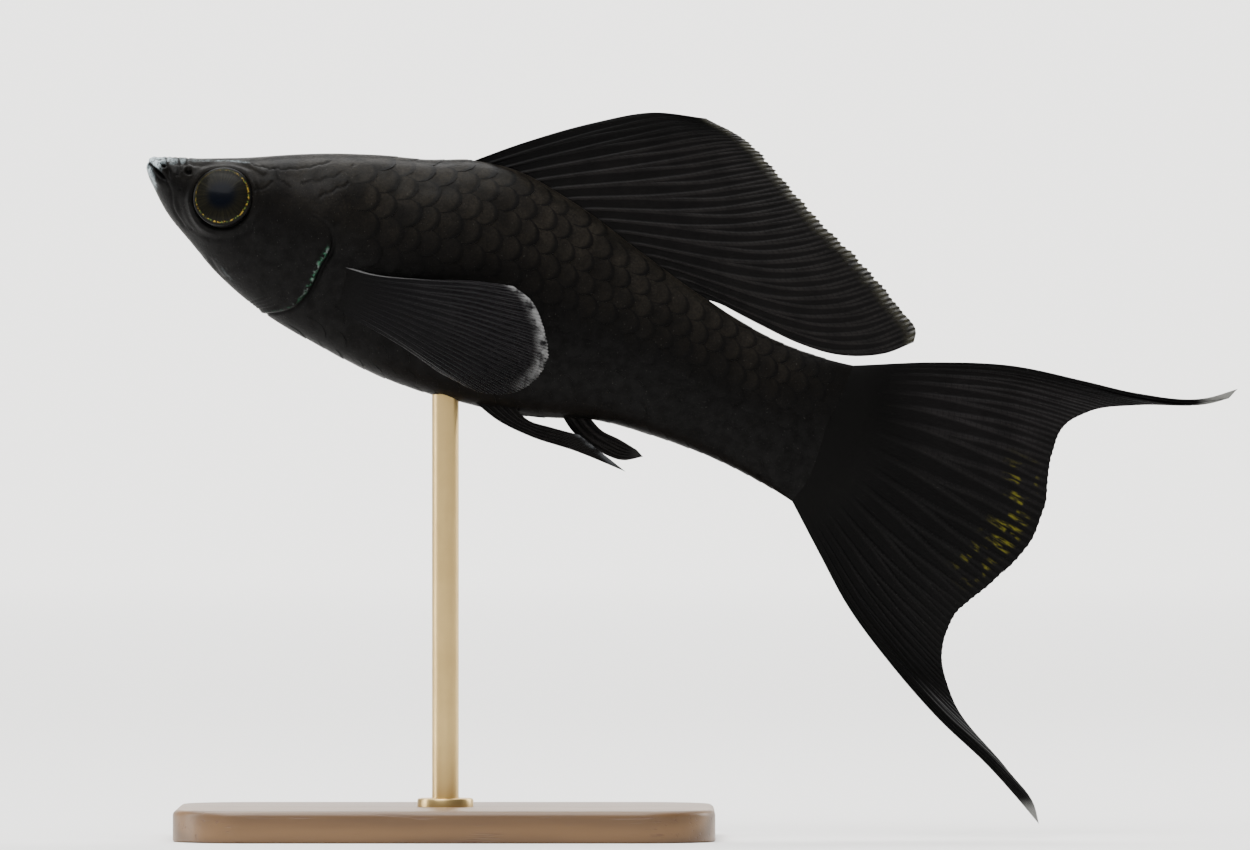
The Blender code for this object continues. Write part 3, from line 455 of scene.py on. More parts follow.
def behind_gills(x, z):
    """0 on the gill covers and 1 behind their free edge, which fades out on the nape."""
    return ease(x - gill_edge_x(z), -0.1, 0.16)


def gill_flare(x, z):
    """How far the gill covers stand off the flank."""
    grown = GILL_FLARE * ease(x, GILL_FLARE_FROM, GILL_FLARE_TO)
    nape = ease(z, *GILL_TOP)
    return grown * (1 - behind_gills(x, z)) * (1 - nape) + grown * nape * (1 - ease(x, 15.0, 20.0))


def trunk_point(s, turn):
    """The level skin at station s, with turn 0 at the belly and a quarter turn at the left side."""
    s, turn = np.broadcast_arrays(s, turn)
    tip = np.sqrt(1 - np.clip((SNOUT - s) / SNOUT_REACH, 0, 1) ** 2)
    across, up = np.sin(turn), -np.cos(turn)
    x = s
    for _ in range(3):
        inset = HEAD_INSET + (SCALED_INSET - HEAD_INSET) * ease(x, *SCALED_FROM)
        level = widest_level(x)
        power = 2 / np.where(up > 0, square_above(x), square_below(x))
        reach = np.where(up > 0, back(x) - level, level - belly(x)) - inset
        z = level + np.sign(up) * abs(up) ** power * reach * tip
        bend = (s - STEM_BENDS_FROM) / (STEM_END - STEM_BENDS_FROM) * (tail_root_x(z) - STEM_BENDS_FROM)
        x = np.where(s > STEM_BENDS_FROM, STEM_BENDS_FROM + bend, s)
    closed = np.clip((s - STEM_CLOSES_FROM) / (STEM_END - STEM_CLOSES_FROM), 0, 1)
    closing = np.sqrt(1 - 0.995 * closed**3)
    y = -np.sign(across) * abs(across) ** power * (half_width(x) + gill_flare(x, z) - inset) * tip * closing
    return np.stack([x, y, z], -1)


def eye_axis(side):
    """The middle of an eye and the direction it looks in, on the level fish."""
    ahead, aside, level = math.sin(EYE_TURN_FORWARD), math.cos(EYE_TURN_FORWARD), math.cos(EYE_TURN_UP)
    outward = (-ahead * level, side * aside * level, math.sin(EYE_TURN_UP))
    return np.array((EYE_X, side * flank(EYE_X, EYE_Z), EYE_Z)), np.array(outward)


def beside_eye(points):
    """How far each point is from the axis of the eye on its own side, and how high above the eye's rim."""
    found, above = np.full(points.shape[:-1], np.inf), np.zeros(points.shape[:-1])
    for side in (-1, 1):
        middle, outward = eye_axis(side)
        away = points - middle
        along = away @ outward
        radius = np.linalg.norm(away - along[..., None] * outward, axis=-1)
        found = np.where(np.sign(points[..., 1]) == side, radius, found)
        above = np.where(np.sign(points[..., 1]) == side, along, above)
    return found, above


def mouth_line(x, z):
    """The distance above the line between the lips, and how near the mouth a place is, from 0 to 1."""
    slope = (MOUTH_TIP[1] - MOUTH_CORNER[1]) / (MOUTH_CORNER[0] - MOUTH_TIP[0])
    above = (z - MOUTH_CORNER[1] + slope * (x - MOUTH_CORNER[0])) / math.hypot(1, slope)
    return above, 1 - ease(x, MOUTH_CORNER[0] - 0.45, MOUTH_CORNER[0] + 0.15)


def relief(points):
    """How far the skin rises or sinks at each point of the smooth level fish."""
    x, y, z = np.moveaxis(points, -1, 0)
    above, near = mouth_line(x, z)
    lips = LIP_RISE * (hump(above - LIP_APART, LIP_WIDTH) + hump(above + LIP_APART, LIP_WIDTH))
    grown = 0.24 + 0.76 * ease(x, *LIPS_GROW)
    rise = near * grown * (lips - MOUTH_DEPTH * hump(above, MOUTH_WIDTH))
    lip_high, lip_at, lip_wide = FOLD_LIP
    for fold in SNOUT_FOLDS:
        away = far_from(fold, x, z)
        rise = rise - FOLD_DEPTH * hump(away, FOLD_WIDTH) + lip_high * hump(away - lip_at, lip_wide)
    wrinkled = WRINKLE_HEIGHT * (1 - ease(x, *WRINKLED_X)) * ease(z, *WRINKLED_Z)
    rise = rise + wrinkled * np.sin(7.3 * x + 3.1 * z) * np.sin(6.1 * z - 4.4 * x + 5.0 * abs(y))
    for crack in NAPE_CRACKS:
        rise = rise - CRACK_DEPTH * hump(jagged(crack, x, z), CRACK_WIDTH)
    for at_x, at_z, radius in NOSTRILS:
        away = np.hypot(x - at_x, z - at_z)
        rise = rise - NOSTRIL_DEPTH * hump(away, radius)
        rise = rise + NOSTRIL_RIM * hump(away - 1.9 * radius, 0.6 * radius)
    away, above_rim = beside_eye(points)
    ahead_of_eye = (1 - ease(away, 2.5, 3.9)) * (1 - ease(z, 0.6, 1.9)) * (1 - ease(x, 6.0, 8.0))
    rise = rise + 0.7 * np.clip(-0.02 - above_rim, 0.0, SOCKET_RISE) * ahead_of_eye
    for high, at, wide in SOCKET_RINGS:
        rise = rise + high * hump(away - at, wide)
    rise = rise - SOCKET_DEPTH * (1 - ease(away, *SOCKET_WALL))
    for line, down_x, down_z, high, wide in HEAD_LINES:
        rise = rise + high * hump(far_from(line, x + down_x, z + down_z), wide)
    for at_x, at_z in PORES:
        rise = rise - PORE_DEPTH * hump(np.hypot(x - at_x, z - at_z), PORE_RADIUS)
    ahead = gill_edge_x(z) - x
    for high, at, wide in GILL_RIMS:
        rise = rise + high * hump(ahead - at, wide) * (1 - ease(z, *GILL_TOP))
    crease = 0.04 * hump(far_from(GILL_CREASE, x, z - 0.4), 0.3)
    crease = crease - CREASE_DEPTH * hump(far_from(GILL_CREASE, x, z), CREASE_WIDTH)
    rise = rise + crease * ease(x, *CREASE_FROM)
    for ray in range(THROAT_RAYS):
        groove = hump(ahead - THROAT_RAY_AT - THROAT_RAY_APART * ray, THROAT_RAY_WIDTH)
        rise = rise - THROAT_RAY_DEPTH * groove * ease(-z, 5.2, 6.6) * ease(x, 9.5, 11.0)
    return rise


def markings(points):
    """What the skin and its scales are coloured by, at level points; painted highlight, sheen, top light and
    shade are among it.
    """
    x, y, z = np.moveaxis(points, -1, 0)
    above, near = mouth_line(x, z)
    # The chin and upper lip marks are the pale lips, with painted highlight on them; the crown, brow and jaw
    # marks are painted highlights along the top of the snout, the brow ridge and the jaw.
    chin = (1 - ease(z - belly(x), 0.45, 1.15)) * (1 - ease(x, 0.9, 1.9)) * (0.62 + 0.38 * ease(z, -0.9, 0.1))
    upper_lip = hump(above - 0.4, 0.34) * (1 - ease(x, 0.7, 1.7))
    crown_highlight = (1 - ease(back(x) - z, 0.25, 1.1)) * (0.75 - 0.3 * ease(x, 1.0, 2.0)) * (1 - ease(x, 2.4, 4.2))
    brow_highlight = hump(far_from(BROW, x, z), 0.1) * ease(x, 3.0, 4.2) * (1 - ease(x, 7.2, 8.9))
    jaw_highlight = hump(far_from(JAW_HIGHLIGHT_LINE, x, z), 0.16)
    pale = np.clip(0.95 * chin + 0.9 * upper_lip + crown_highlight + 0.42 * brow_highlight + 0.2 * jaw_highlight, 0, 1)
    # The brown grows with height: it is the back's tint and also paints in the light that falls on the back
    # from above.
    high = (z - belly(x)) / (back(x) - belly(x))
    back_tint_and_top_light = ease(high, 0.42, 1.0) * (0.55 + 0.4 * ease(x, 9.0, 20.0))
    back_tint_and_top_light = back_tint_and_top_light * (1 - 0.35 * ease(x, 30.0, 50.0)) * (1 - 0.85 * ease(x, 52.0, 59.0))
    ahead = gill_edge_x(z) - x
    # The gleam is a painted green sheen along the free edge of the gill covers.
    gleam = hump(ahead - 0.2, 0.13) * ease(-z, 0.7, 1.5)
    gleam = gleam * (1 - 0.75 * ease(-z, 4.0, 5.6)) * (1 - ease(-z, 7.4, 8.2))
    # Painted shade: the mouth's cleft, the nostrils, the strip under the gill covers' free edge, the gill
    # crease and the cracks and folds are darkened where shade would fall.
    pit_shade = near * hump(above, MOUTH_WIDTH) * (0.5 + 0.5 * ease(x, *LIPS_GROW))
    for at_x, at_z, radius in NOSTRILS:
        pit_shade = np.maximum(pit_shade, hump(np.hypot(x - at_x, z - at_z), 0.95 * radius))
    pit_shade = np.maximum(pit_shade, 0.8 * hump(ahead + 0.2, 0.16) * (1 - ease(z, *GILL_TOP)))
    crease = hump(far_from(GILL_CREASE, x, z), CREASE_WIDTH) * ease(x, *CREASE_FROM)
    pit_shade = np.maximum(pit_shade, 0.5 * crease)
    for crack in (*NAPE_CRACKS, *SNOUT_FOLDS):
        pit_shade = np.maximum(pit_shade, 0.7 * hump(jagged(crack, x, z), CRACK_WIDTH))
    return {"pale": pale * (1 - pit_shade), "back_tint_and_top_light": back_tint_and_top_light, "gleam": gleam, "pit_shade": pit_shade}


def wear(mesh, values):
    """Stores numbers or vectors under their names, one for each point of a mesh."""
    for name, value in values.items():
        value = np.ascontiguousarray(value, np.float32).ravel()
        kind, field = ("FLOAT", "value") if len(value) == len(mesh.vertices) else ("FLOAT_VECTOR", "vector")
        mesh.attributes.new(name, kind, "POINT").data.foreach_set(field, value)


def fish_finish(name):
    """Moist dark skin, or the scales in it, coloured by its markings, which include painted light and shade.
    """
    made = Finish(name, Specular_IOR_Level=0.035, Coat_Roughness=0.25)
    blend, step, noise, spot = made.blend, made.step, made.noise, made.place()
    fine = noise(spot, 4.5, 3.0, 0.6)
    pale, back_tint_and_top_light, gleam, pit_shade, edge, shade = (
        made.attribute(name) for name in ("pale", "back_tint_and_top_light", "gleam", "pit_shade", "free_edge", "shade")
    )
    # The back's brown tint, which also paints in the light from above.
    color = blend(back_tint_and_top_light * (0.3 + 1.0 * step(noise(spot, 0.55, 4.0), 0.3, 0.7)), SKIN_DARK, SKIN_BROWN)
    color = blend(step(fine, 0.38, 0.62) * 0.45, color, SKIN_DARK)
    color = blend(step(noise(spot, 7.0, 1.0), 0.70, 0.78) * 0.06, color, SKIN_DUST)
    moist = step(0.65 * noise(spot, 1.25, 3.0) + 0.35 * fine, 0.36, 0.62)
    blotch = 0.6 * noise(spot, 1.7, 3.0) + 0.4 * noise(spot, 5.0, 3.0)
    # The pale mark is the pale lips' colour and painted highlight on the lips, the top of the snout, the brow
    # line and the jaw.
    color = blend(step(pale * (step(blotch, 0.34, 0.62) * 0.85 + 0.22), 0.08, 0.95), color, SKIN_PALE)
    # The gleam paints a green sheen along the gill covers' free edge.
    gleam_tint = blend(step(noise(spot, 1.3, 1.0), 0.45, 0.6), SKIN_GLEAM_GREEN, SKIN_GLEAM_PALE)
    color = blend(gleam * step(noise(spot, 2.2, 2.0), 0.42, 0.62) * 0.8, color, gleam_tint)
    # Towards their free edges the scales take on the back's brown, which also paints in the light from above.
    color = blend(step(edge, 0.35, 0.75) * back_tint_and_top_light * 0.3, color, SKIN_BROWN)
    color = blend(shade * 0.2 + step(edge, 0.80, 0.94) * 0.75, color, SKIN_DARK)
    # The pit mark paints shade in the mouth, nostrils, creases and cracks.
    made.feed(Base_Color=blend(pit_shade * 0.9, color, SKIN_PIT_SHADE), Coat_Weight=0.055 * moist * (1 - pit_shade),
              Roughness=0.34 + 0.2 * fine + 0.1 * pit_shade - 0.1 * gleam + 0.08 * moist)
    made.bump(fine + 0.4 * noise(spot, 11.0, 2.0) + 0.6 * moist, 0.25, SKIN_GRAIN_DEEP)
    return made


cap = SNOUT - SNOUT_REACH * np.cos(np.linspace(0.1, math.pi / 2, 9))[:-1]
stations = np.concatenate([
    cap, np.arange(SNOUT, HEAD_END, HEAD_STEP), np.arange(HEAD_END, STEM_CLOSES_FROM, TRUNK_STEP),
    STEM_END - (STEM_END - STEM_CLOSES_FROM) * np.cos(np.linspace(0, math.pi / 2, 20)),
])
smooth_fish = trunk_point(stations[:, None], full_turn(SKIN_COLUMNS)[None])


def outward_of(grid):
    """The direction out of the body at each point of the skin's grid."""
    lengthwise = np.gradient(grid, axis=0)
    around = np.roll(grid, -1, 1) - np.roll(grid, 1, 1)
    out = np.cross(lengthwise, around)
    return out / np.maximum(np.linalg.norm(out, axis=-1, keepdims=True), 1e-9)


skin_out = outward_of(smooth_fish)
level_skin = smooth_fish + relief(smooth_fish)[..., None] * skin_out
rows = len(stations)
faces = [face[::-1] for face in capped_faces(rows, SKIN_COLUMNS)]
skin = piece("skin", posed(level_skin).reshape(-1, 3), faces, fish_finish("molly_skin"))
wear(skin.data, markings(smooth_fish))

# The unwrap runs from snout to tail and once round the body, from the belly up the left side
ring = np.linalg.norm(np.diff(smooth_fish, axis=1, append=smooth_fish[:, :1]), axis=-1)
girth = ring.sum(1)
round_share = np.hstack([np.zeros((rows, 1)), np.cumsum(ring, 1) / girth[:, None]])
long_share = (stations - stations[0]) / (stations[-1] - stations[0])
long_shares = np.broadcast_to(long_share[:, None], (rows, SKIN_COLUMNS))
layout = np.stack([long_shares, round_share[:, :-1]], -1).reshape(-1, 2)
corner_at = np.empty(len(skin.data.loops), int)
skin.data.loops.foreach_get("vertex_index", corner_at)
corners = layout[corner_at]
quads = (len(faces) - 2) * 4
round_quads = corners[:quads, 1].reshape(-1, 4)
wrapped = (round_quads.max(1) > 0.6) & (round_quads.min(1) < 0.2)
round_quads[wrapped[:, None] & (round_quads < 0.2)] = 1.0
corners[:quads, 1] = round_quads.ravel()
layer = skin.data.uv_layers.new(name="OFBake")
layer.uv.foreach_set("vector", np.ascontiguousarray(corners, np.float32).ravel())
wear(skin.data, {"outward": outward_of(posed(level_skin) - np.array(SNOUT_AT))})
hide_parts("head", "torso", "tail_stem")
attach(skin, "root")


# The scales are thin bony plates that lie over each other like roof tiles, each with its rear edge
# free, in lengthwise rows from behind the gill covers to the tail fin. One plate is modelled, and
# Geometry Nodes lay copies of it over the skin.
NAPE_FROM, SCALES_FROM_S, SCALES_TO_S = ((1.5, 16.3), (4.5, 14.4)), 8.6, 57.0
ROW_PITCH = ((8.0, 2.15), (20.0, 2.0), (40.0, 1.75), (62.0, 1.5))
SCALE_SPACING = ((8.0, 1.85), (20.0, 1.78), (40.0, 1.66), (62.0, 1.45))
PLATE_OVERLAP, PLATE_WIDEN = 1.6, 1.2
PLATE_ALONG, PLATE_ACROSS = 4, (-0.5, -0.42, -0.24, 0.0, 0.24, 0.42, 0.5)
PLATE_THICK, PLATE_FOOT, PLATE_LIFT, PLATE_CAMBER = 0.045, 0.01, 0.105, 0.03
PATCH_SIZE = 0.003
CLEAR_OF_GILL, CLEAR_OF_ROD = 0.35, 1.5
DORSAL_BASE_X = (22.6, 47.0)
SCALE_SEED = 11
SCALE_DISORDER = np.array((0.09, 0.07, 0.07))
LIFT_RANGE, FLAT_LIFT, TAIL_LIFT, TAIL_LIFT_FROM = (0.75, 1.15), 0.6, 0.4, (0.87, 0.965)

row_pitch, scale_spacing = height_along(ROW_PITCH), height_along(SCALE_SPACING)


def skin_at(s, v):
    """The level point of the skin at a station and a share round the section from the belly."""
    row = np.interp(s, stations, np.arange(rows))
    low = min(int(row), rows - 2)
    here = []
    for line in (low, low + 1):
        column = np.interp(v % 1.0, round_share[line], np.arange(SKIN_COLUMNS + 1))
        share = column - int(column)
        left, right = int(column) % SKIN_COLUMNS, (int(column) + 1) % SKIN_COLUMNS
        here.append((1 - share) * level_skin[line, left] + share * level_skin[line, right])
    return here[0] + (row - low) * (here[1] - here[0])


def girth_at(s):
    return float(np.interp(s, stations, girth))


def grows_here(x, y, z, s, row_is_back):
    """Whether a scale has its root at this place of the level fish."""
    heights, starts = zip(*NAPE_FROM)
    start = np.interp(z, heights, starts) if z > heights[0] else gill_edge_x(z) + CLEAR_OF_GILL
    if x < start or s > SCALES_TO_S:
        return False
    if row_is_back and DORSAL_BASE_X[0] < x < DORSAL_BASE_X[1]:
        return False
    over_rod = posed((x, y, z))
    return z > 0 or math.hypot(over_rod[0], over_rod[1]) > CLEAR_OF_ROD


places, sizes, along = [], [], [SCALES_FROM_S]
disorder = np.random.default_rng(SCALE_SEED + 2)
while along[-1] < SCALES_TO_S:
    along.append(along[-1] + float(scale_spacing(along[-1])))
for middle in (0.25, 0.75, 0.0, 0.5):
    on_flank = middle in (0.25, 0.75)
    for row_number in range(-9, 10) if on_flank else (0,):
        numbers = np.arange(len(along) - 1) + 0.5 * (row_number % 2 if on_flank else 0)
        for s in np.interp(numbers, np.arange(len(along)), along):
            pitch, round_it = float(row_pitch(s)), girth_at(s)
            away = row_number * pitch
            last = math.floor((round_it / 4 - 0.6 * pitch) / pitch) * pitch
            if abs(away) > last + 0.01:
                continue
            wide = pitch * PLATE_WIDEN
            if not on_flank:
                bare = 2 * (round_it / 4 - last - 0.5 * pitch)
                wide = min(max(bare + 0.25 * pitch, pitch), 1.9 * pitch)
            v = middle + away / round_it
            if grows_here(*skin_at(s, v), s, middle == 0.5):
                shift, slip, grown = disorder.uniform(-1, 1, 3) * SCALE_DISORDER
                places.append((np.interp(s + shift, stations, long_share), (v + slip / round_it) % 1.0, 0.0))
                long = PLATE_OVERLAP * float(scale_spacing(s)) / (stations[-1] - stations[0])
                sizes.append((long * (1 + grown), wide / round_it * (1 + grown), 1.0))

seeds = bpy.data.meshes.new("scale_roots")
seeds.from_pydata(places, [], [])
scales = bpy.data.objects.new("scales", seeds)
bpy.context.scene.collection.objects.link(scales)
lengthwise, roundwise, _ = np.array(places).T
lift = np.random.default_rng(SCALE_SEED).uniform(*LIFT_RANGE, len(places))
lift *= FLAT_LIFT + (1 - FLAT_LIFT) * np.sin(2 * math.pi * roundwise) ** 2
lift *= 1 - (1 - TAIL_LIFT) * ease(lengthwise, *TAIL_LIFT_FROM)
shade = np.random.default_rng(SCALE_SEED + 1).uniform(0, 1, len(places))
wear(seeds, {"plate_size": sizes, "bake_root": places, "lift": lift, "shade": shade})


def sheet_faces(rows, columns):
    """The faces of a thin closed sheet: a grid, the same grid on its other side and the rim."""
    count = rows * columns
    faces = grid_faces(rows, columns)
    faces += [[count + corner for corner in face[::-1]] for face in faces]
    rim = [*range(columns), *range(2 * columns - 1, count, columns)]
    rim += [*range(count - 2, count - columns - 1, -1), *range(count - 2 * columns, 0, -columns)]
    return faces + [[b, a, a + count, b + count] for a, b in zip(rim, rim[1:] + rim[:1])]


# The plate lies along X from its root, with a round rear edge, in shares of its size
across = np.array(PLATE_ACROSS)
reach = 0.55 + 0.45 * np.sqrt(1 - np.clip(2 * across, -1, 1) ** 2)
step = np.linspace(0, 1, PLATE_ALONG + 1)
plate_x = step[:, None] * reach
plate_y = np.broadcast_to(across, plate_x.shape)
top = PLATE_FOOT + PLATE_LIFT * plate_x - PLATE_CAMBER * (2 * plate_y) ** 2
grid = np.vstack([
    np.stack([plate_x, plate_y, (top - drop) * MM], -1).reshape(-1, 3) for drop in (0.0, PLATE_THICK)
])
plate_mesh = bpy.data.meshes.new("scale_plate")
plate_mesh.from_pydata(grid.tolist(), [], [face[::-1] for face in sheet_faces(*plate_x.shape)])
shape = bmesh.new()
shape.from_mesh(plate_mesh)
bmesh.ops.recalc_face_normals(shape, faces=shape.faces)
shape.to_mesh(plate_mesh)
shape.free()
plate_mesh.shade_smooth()
plate_mesh.set_sharp_from_angle(angle=math.radians(60))
free_edge = np.tile(np.repeat(step, len(across)), 2)
wear(plate_mesh, {"plate_place": grid * (1.0, 1.0, 0.0), "free_edge": free_edge})
plate = bpy.data.objects.new("scale_plate", plate_mesh)

tiling = bpy.data.node_groups.new("lay_scales", "GeometryNodeTree")
SOCKETS = (
    ("Roots", "NodeSocketGeometry", None), ("Skin", "NodeSocketObject", skin),
    ("Plate", "NodeSocketObject", plate), ("Patch Size", "NodeSocketFloat", PATCH_SIZE),
    ("Finish", "NodeSocketMaterial", fish_finish("molly_scales").material),
)
inputs = {
    name: tiling.interface.new_socket(name, in_out="INPUT", socket_type=kind) for name, kind, _ in SOCKETS
}
tiling.interface.new_socket("Scales", in_out="OUTPUT", socket_type="NodeSocketGeometry")
nodes = Tree(tiling)
given = {name: nodes.node("NodeGroupInput", output=name) for name in inputs}


def stored(name, kind="FLOAT_VECTOR"):
    return nodes.node("GeometryNodeInputNamedAttribute", {"data_type": kind}, {"Name": name})


under = nodes.node("GeometryNodeObjectInfo", sockets={"Object": given["Skin"]}, output="Geometry")
tile = nodes.node("GeometryNodeObjectInfo", sockets={"Object": given["Plate"]}, output="Geometry")
laid = nodes.node("GeometryNodeInstanceOnPoints",
                  sockets={"Points": given["Roots"], "Instance": tile, "Scale": stored("plate_size")})
laid = nodes.node("GeometryNodeRealizeInstances", sockets={"Geometry": laid})
place = nodes.node("GeometryNodeInputPosition")
x, y, z = (nodes.node("ShaderNodeSeparateXYZ", sockets={"Vector": place}, output=axis) for axis in "XYZ")
at = nodes.node("ShaderNodeCombineXYZ", sockets={"X": x.math("MINIMUM", x, 0.999), "Y": y.math("FRACT", y)})
sampled = []
for value in (nodes.node("GeometryNodeInputPosition"), stored("outward")):
    sockets = {"Mesh": under, "Value": value, "UV Map": stored("OFBake"), "Sample UV": at}
    sampled.append(nodes.node("GeometryNodeSampleUVSurface", {"data_type": "FLOAT_VECTOR"}, sockets))
raised = nodes.vector("SCALE", {"Vector": sampled[1], "Scale": z * stored("lift", "FLOAT")})
raised = nodes.vector("ADD", {0: sampled[0], 1: raised})
laid = nodes.node("GeometryNodeSetPosition", sockets={"Geometry": laid, "Position": raised})
patch = nodes.vector("SCALE", {"Vector": stored("plate_place"), "Scale": given["Patch Size"]})
patch = nodes.vector("ADD", {0: stored("bake_root"), 1: patch})
laid = nodes.node("GeometryNodeStoreNamedAttribute", {"data_type": "FLOAT2", "domain": "CORNER"},
                  {"Geometry": laid, "Name": "OFBake", "Value": patch})
laid = nodes.node("GeometryNodeSetMaterial", sockets={"Geometry": laid, "Material": given["Finish"]})
nodes.node("NodeGroupOutput", sockets={"Scales": laid}, output=None)

laying = scales.modifiers.new("lay_scales", "NODES")
laying.node_group = tiling
for name, _, value in SOCKETS[1:]:
    laying[inputs[name].identifier] = value
graph = bpy.context.evaluated_depsgraph_get()
made = bpy.data.meshes.new_from_object(scales.evaluated_get(graph), depsgraph=graph)
scales.modifiers.clear()
scales.data = made
bpy.data.objects.remove(plate)


def level_again(points):
    """World points, in millimetres, back on the level fish."""
    x, y, z = np.moveaxis(np.asarray(points, float) - np.array(SNOUT_AT), -1, 0)
    level, rise = math.cos(NOSE_UP), math.sin(NOSE_UP)
    return np.stack([x * level - z * rise, y, x * rise + z * level], -1)


found = np.empty(len(made.vertices) * 3, np.float32)
made.vertices.foreach_get("co", found)
wear(made, markings(level_again(found.reshape(-1, 3) / MM)))
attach(scales, "root")


# Each eye is a glossy ball under a clear cornea, bare of lids. Its pupil bulges a little, the iris is
# dark with a broken ring of gold and green flecks near its edge, and a black rim seats it in the skin.
EYE_BALL_RADIUS, EYE_WALL = 2.44, 1.3
EYE_COLUMNS, EYE_FACE_RINGS = 128, 44
PUPIL_RADIUS, LENS_BULGE, RIM_RADIUS, IRIS_DEEP = 1.22, 0.1, (2.3, 2.38), 0.00004
FLECK_RADIUS, FLECKS_FACE = 2.2, (0.85, -0.53, 0.0)
PUPIL_BLUE, EYE_RIM = (0.0012, 0.0018, 0.0035, 1.0), (0.003, 0.003, 0.003, 1.0)
IRIS_DARK, IRIS_LIGHT = (0.004, 0.0038, 0.0028, 1.0), (0.009, 0.0083, 0.005, 1.0)
FLECK_GOLD, FLECK_GREEN = (0.30, 0.20, 0.03, 1.0), (0.07, 0.11, 0.025, 1.0)

wet = Finish("wet_eye", Roughness=0.35, Specular_IOR_Level=0.03, Coat_Weight=0.05, Coat_Roughness=0.12)
spot = wet.attribute("eye_place", "Vector")
from_middle = wet.vector("LENGTH", {0: spot}, "Value")
turned = wet.vector("NORMALIZE", {0: spot})
facing = wet.vector("DOT_PRODUCT", {0: turned, 1: FLECKS_FACE}, "Value")
streaks, specks = wet.noise(turned, 14.0, 2.0), wet.noise(spot, 5.5, 2.0)
iris = wet.step(from_middle, PUPIL_RADIUS - 0.5, PUPIL_RADIUS + 0.35)
color = wet.blend(iris, PUPIL_BLUE, wet.blend(wet.step(streaks, 0.35, 0.75), IRIS_DARK, IRIS_LIGHT))
ring = 1 - wet.step(abs(from_middle - FLECK_RADIUS + 0.12 * (specks - 0.5)), 0.02, 0.09)
shown = wet.step(facing, -1.2, 1.0) * wet.step(specks, 0.44, 0.60)
fleck = wet.blend(wet.step(wet.noise(spot, 3.0, 1.0), 0.44, 0.58), FLECK_GOLD, FLECK_GREEN)
color = wet.blend(ring * (0.04 + 0.96 * shown), color, fleck)
color = wet.blend(wet.step(from_middle, *RIM_RADIUS), color, EYE_RIM)
wet.feed(Base_Color=color, Metallic=0.5 * ring * shown)
wet.bump(streaks * iris, 0.25, IRIS_DEEP)

for name, node, side in (("left_eye", "eye_left", -1), ("right_eye", "eye_right", 1)):
    middle, outward = eye_axis(side)
    tailward = -side * np.cross((0.0, 0.0, 1.0), outward)
    tailward /= np.linalg.norm(tailward)
    up = side * np.cross(tailward, outward)
    radii = EYE_BALL_RADIUS * np.sin(np.linspace(0, math.pi / 2, EYE_FACE_RINGS + 1))[1:]
    heights = EYE_DOME * np.sqrt(1 - np.clip(radii / EYE_RADIUS, 0, 1) ** 2)
    heights = heights + LENS_BULGE * hump(radii, PUPIL_RADIUS)
    profile = [*zip(radii, heights), (EYE_BALL_RADIUS, -0.5 * EYE_WALL), (0.9 * EYE_BALL_RADIUS, -EYE_WALL)]
    radius, height = np.array(profile).T
    turns = full_turn(EYE_COLUMNS)
    flat = np.stack([radius[:, None] * np.cos(turns), radius[:, None] * np.sin(turns)], -1)
    points = middle + flat[..., :1] * tailward + flat[..., 1:] * up + height[:, None, None] * outward
    points = np.vstack([points.reshape(-1, 3), middle + (EYE_DOME + LENS_BULGE) * outward])
    last, top = len(profile) * EYE_COLUMNS, len(points) - 1
    faces = grid_faces(len(profile), EYE_COLUMNS, wrap=True)
    faces += [[top, (turn + 1) % EYE_COLUMNS, turn] for turn in range(EYE_COLUMNS)]
    faces.append(list(range(last - EYE_COLUMNS, last)))
    if side < 0:
        faces = [face[::-1] for face in faces]
    ball = piece(name, posed(points), faces, wet)
    ball.data.set_sharp_from_angle(angle=math.radians(50))
    flat = np.vstack([flat.reshape(-1, 2), (0.0, 0.0)])
    wear(ball.data, {"eye_place": np.column_stack([flat, np.zeros(len(flat))])})
    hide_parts(node)
    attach(ball, "root")


# The dorsal fin is a thin dark membrane spread on sixteen bony rays, each one jointed along its length
# and branched twice towards the margin. It rises from a low scaly sheath along the back.
DORSAL_ROOT_X, DORSAL_SUNK = (23.2, 46.0), 1.0
DORSAL_LEAD = ((28.0, 12.7), (32.8, 16.3), (37.0, 18.8), (41.2, 19.9))
DORSAL_MARGIN = (
    (41.2, 19.9), (45.0, 19.45), (49.5, 17.25), (53.7, 15.1), (58.0, 13.2), (61.6, 11.1), (63.5, 9.7),
    (63.6, 8.9),
)
DORSAL_TRAIL = (
    (47.6, 6.15), (49.4, 5.95), (51.5, 5.72), (55.0, 5.45), (58.0, 5.68), (60.0, 6.3), (61.8, 7.25),
    (63.6, 8.9),
)
DORSAL_RAYS, DORSAL_RIPPLE, DORSAL_WAVES, DORSAL_SEED = 16, 0.7, 1.1, 21
MEMBRANE_HALF, RAY_HALF, RAY_WIDE = 0.035, 0.13, 0.15
MEMBRANE_THINS, RAY_FLATTENS, RAY_NARROWS, MARGIN_THINS = 0.35, 0.72, 0.62, 0.5
FIRST_FORK, SECOND_FORK = (0.25, 0.75, 0.25), (0.6, 1.0, 0.125)
MARGIN_NOTCH, TOOTH_DEPTH, MARGIN_RAGGED = 0.1, 0.17, 0.16
RAY_STEP, MAX_RAY, CURVE_STEPS = 0.25, 45.0, 160
COLUMNS_A_RAY, DORSAL_ROWS = 24, 72
ROOT_SWELL, FIN_GRAIN_DEEP = 0.22, 0.00006
# The last dorsal colour paints the pale tips, partly the margin's own and partly painted light caught in it.
DORSAL_COLORS = ((0.0018, 0.0018, 0.0018, 1.0), (0.012, 0.0108, 0.0104, 1.0), (0.032, 0.030, 0.018, 1.0))
FLECK_YELLOW = (0.07, 0.064, 0.006, 1.0)


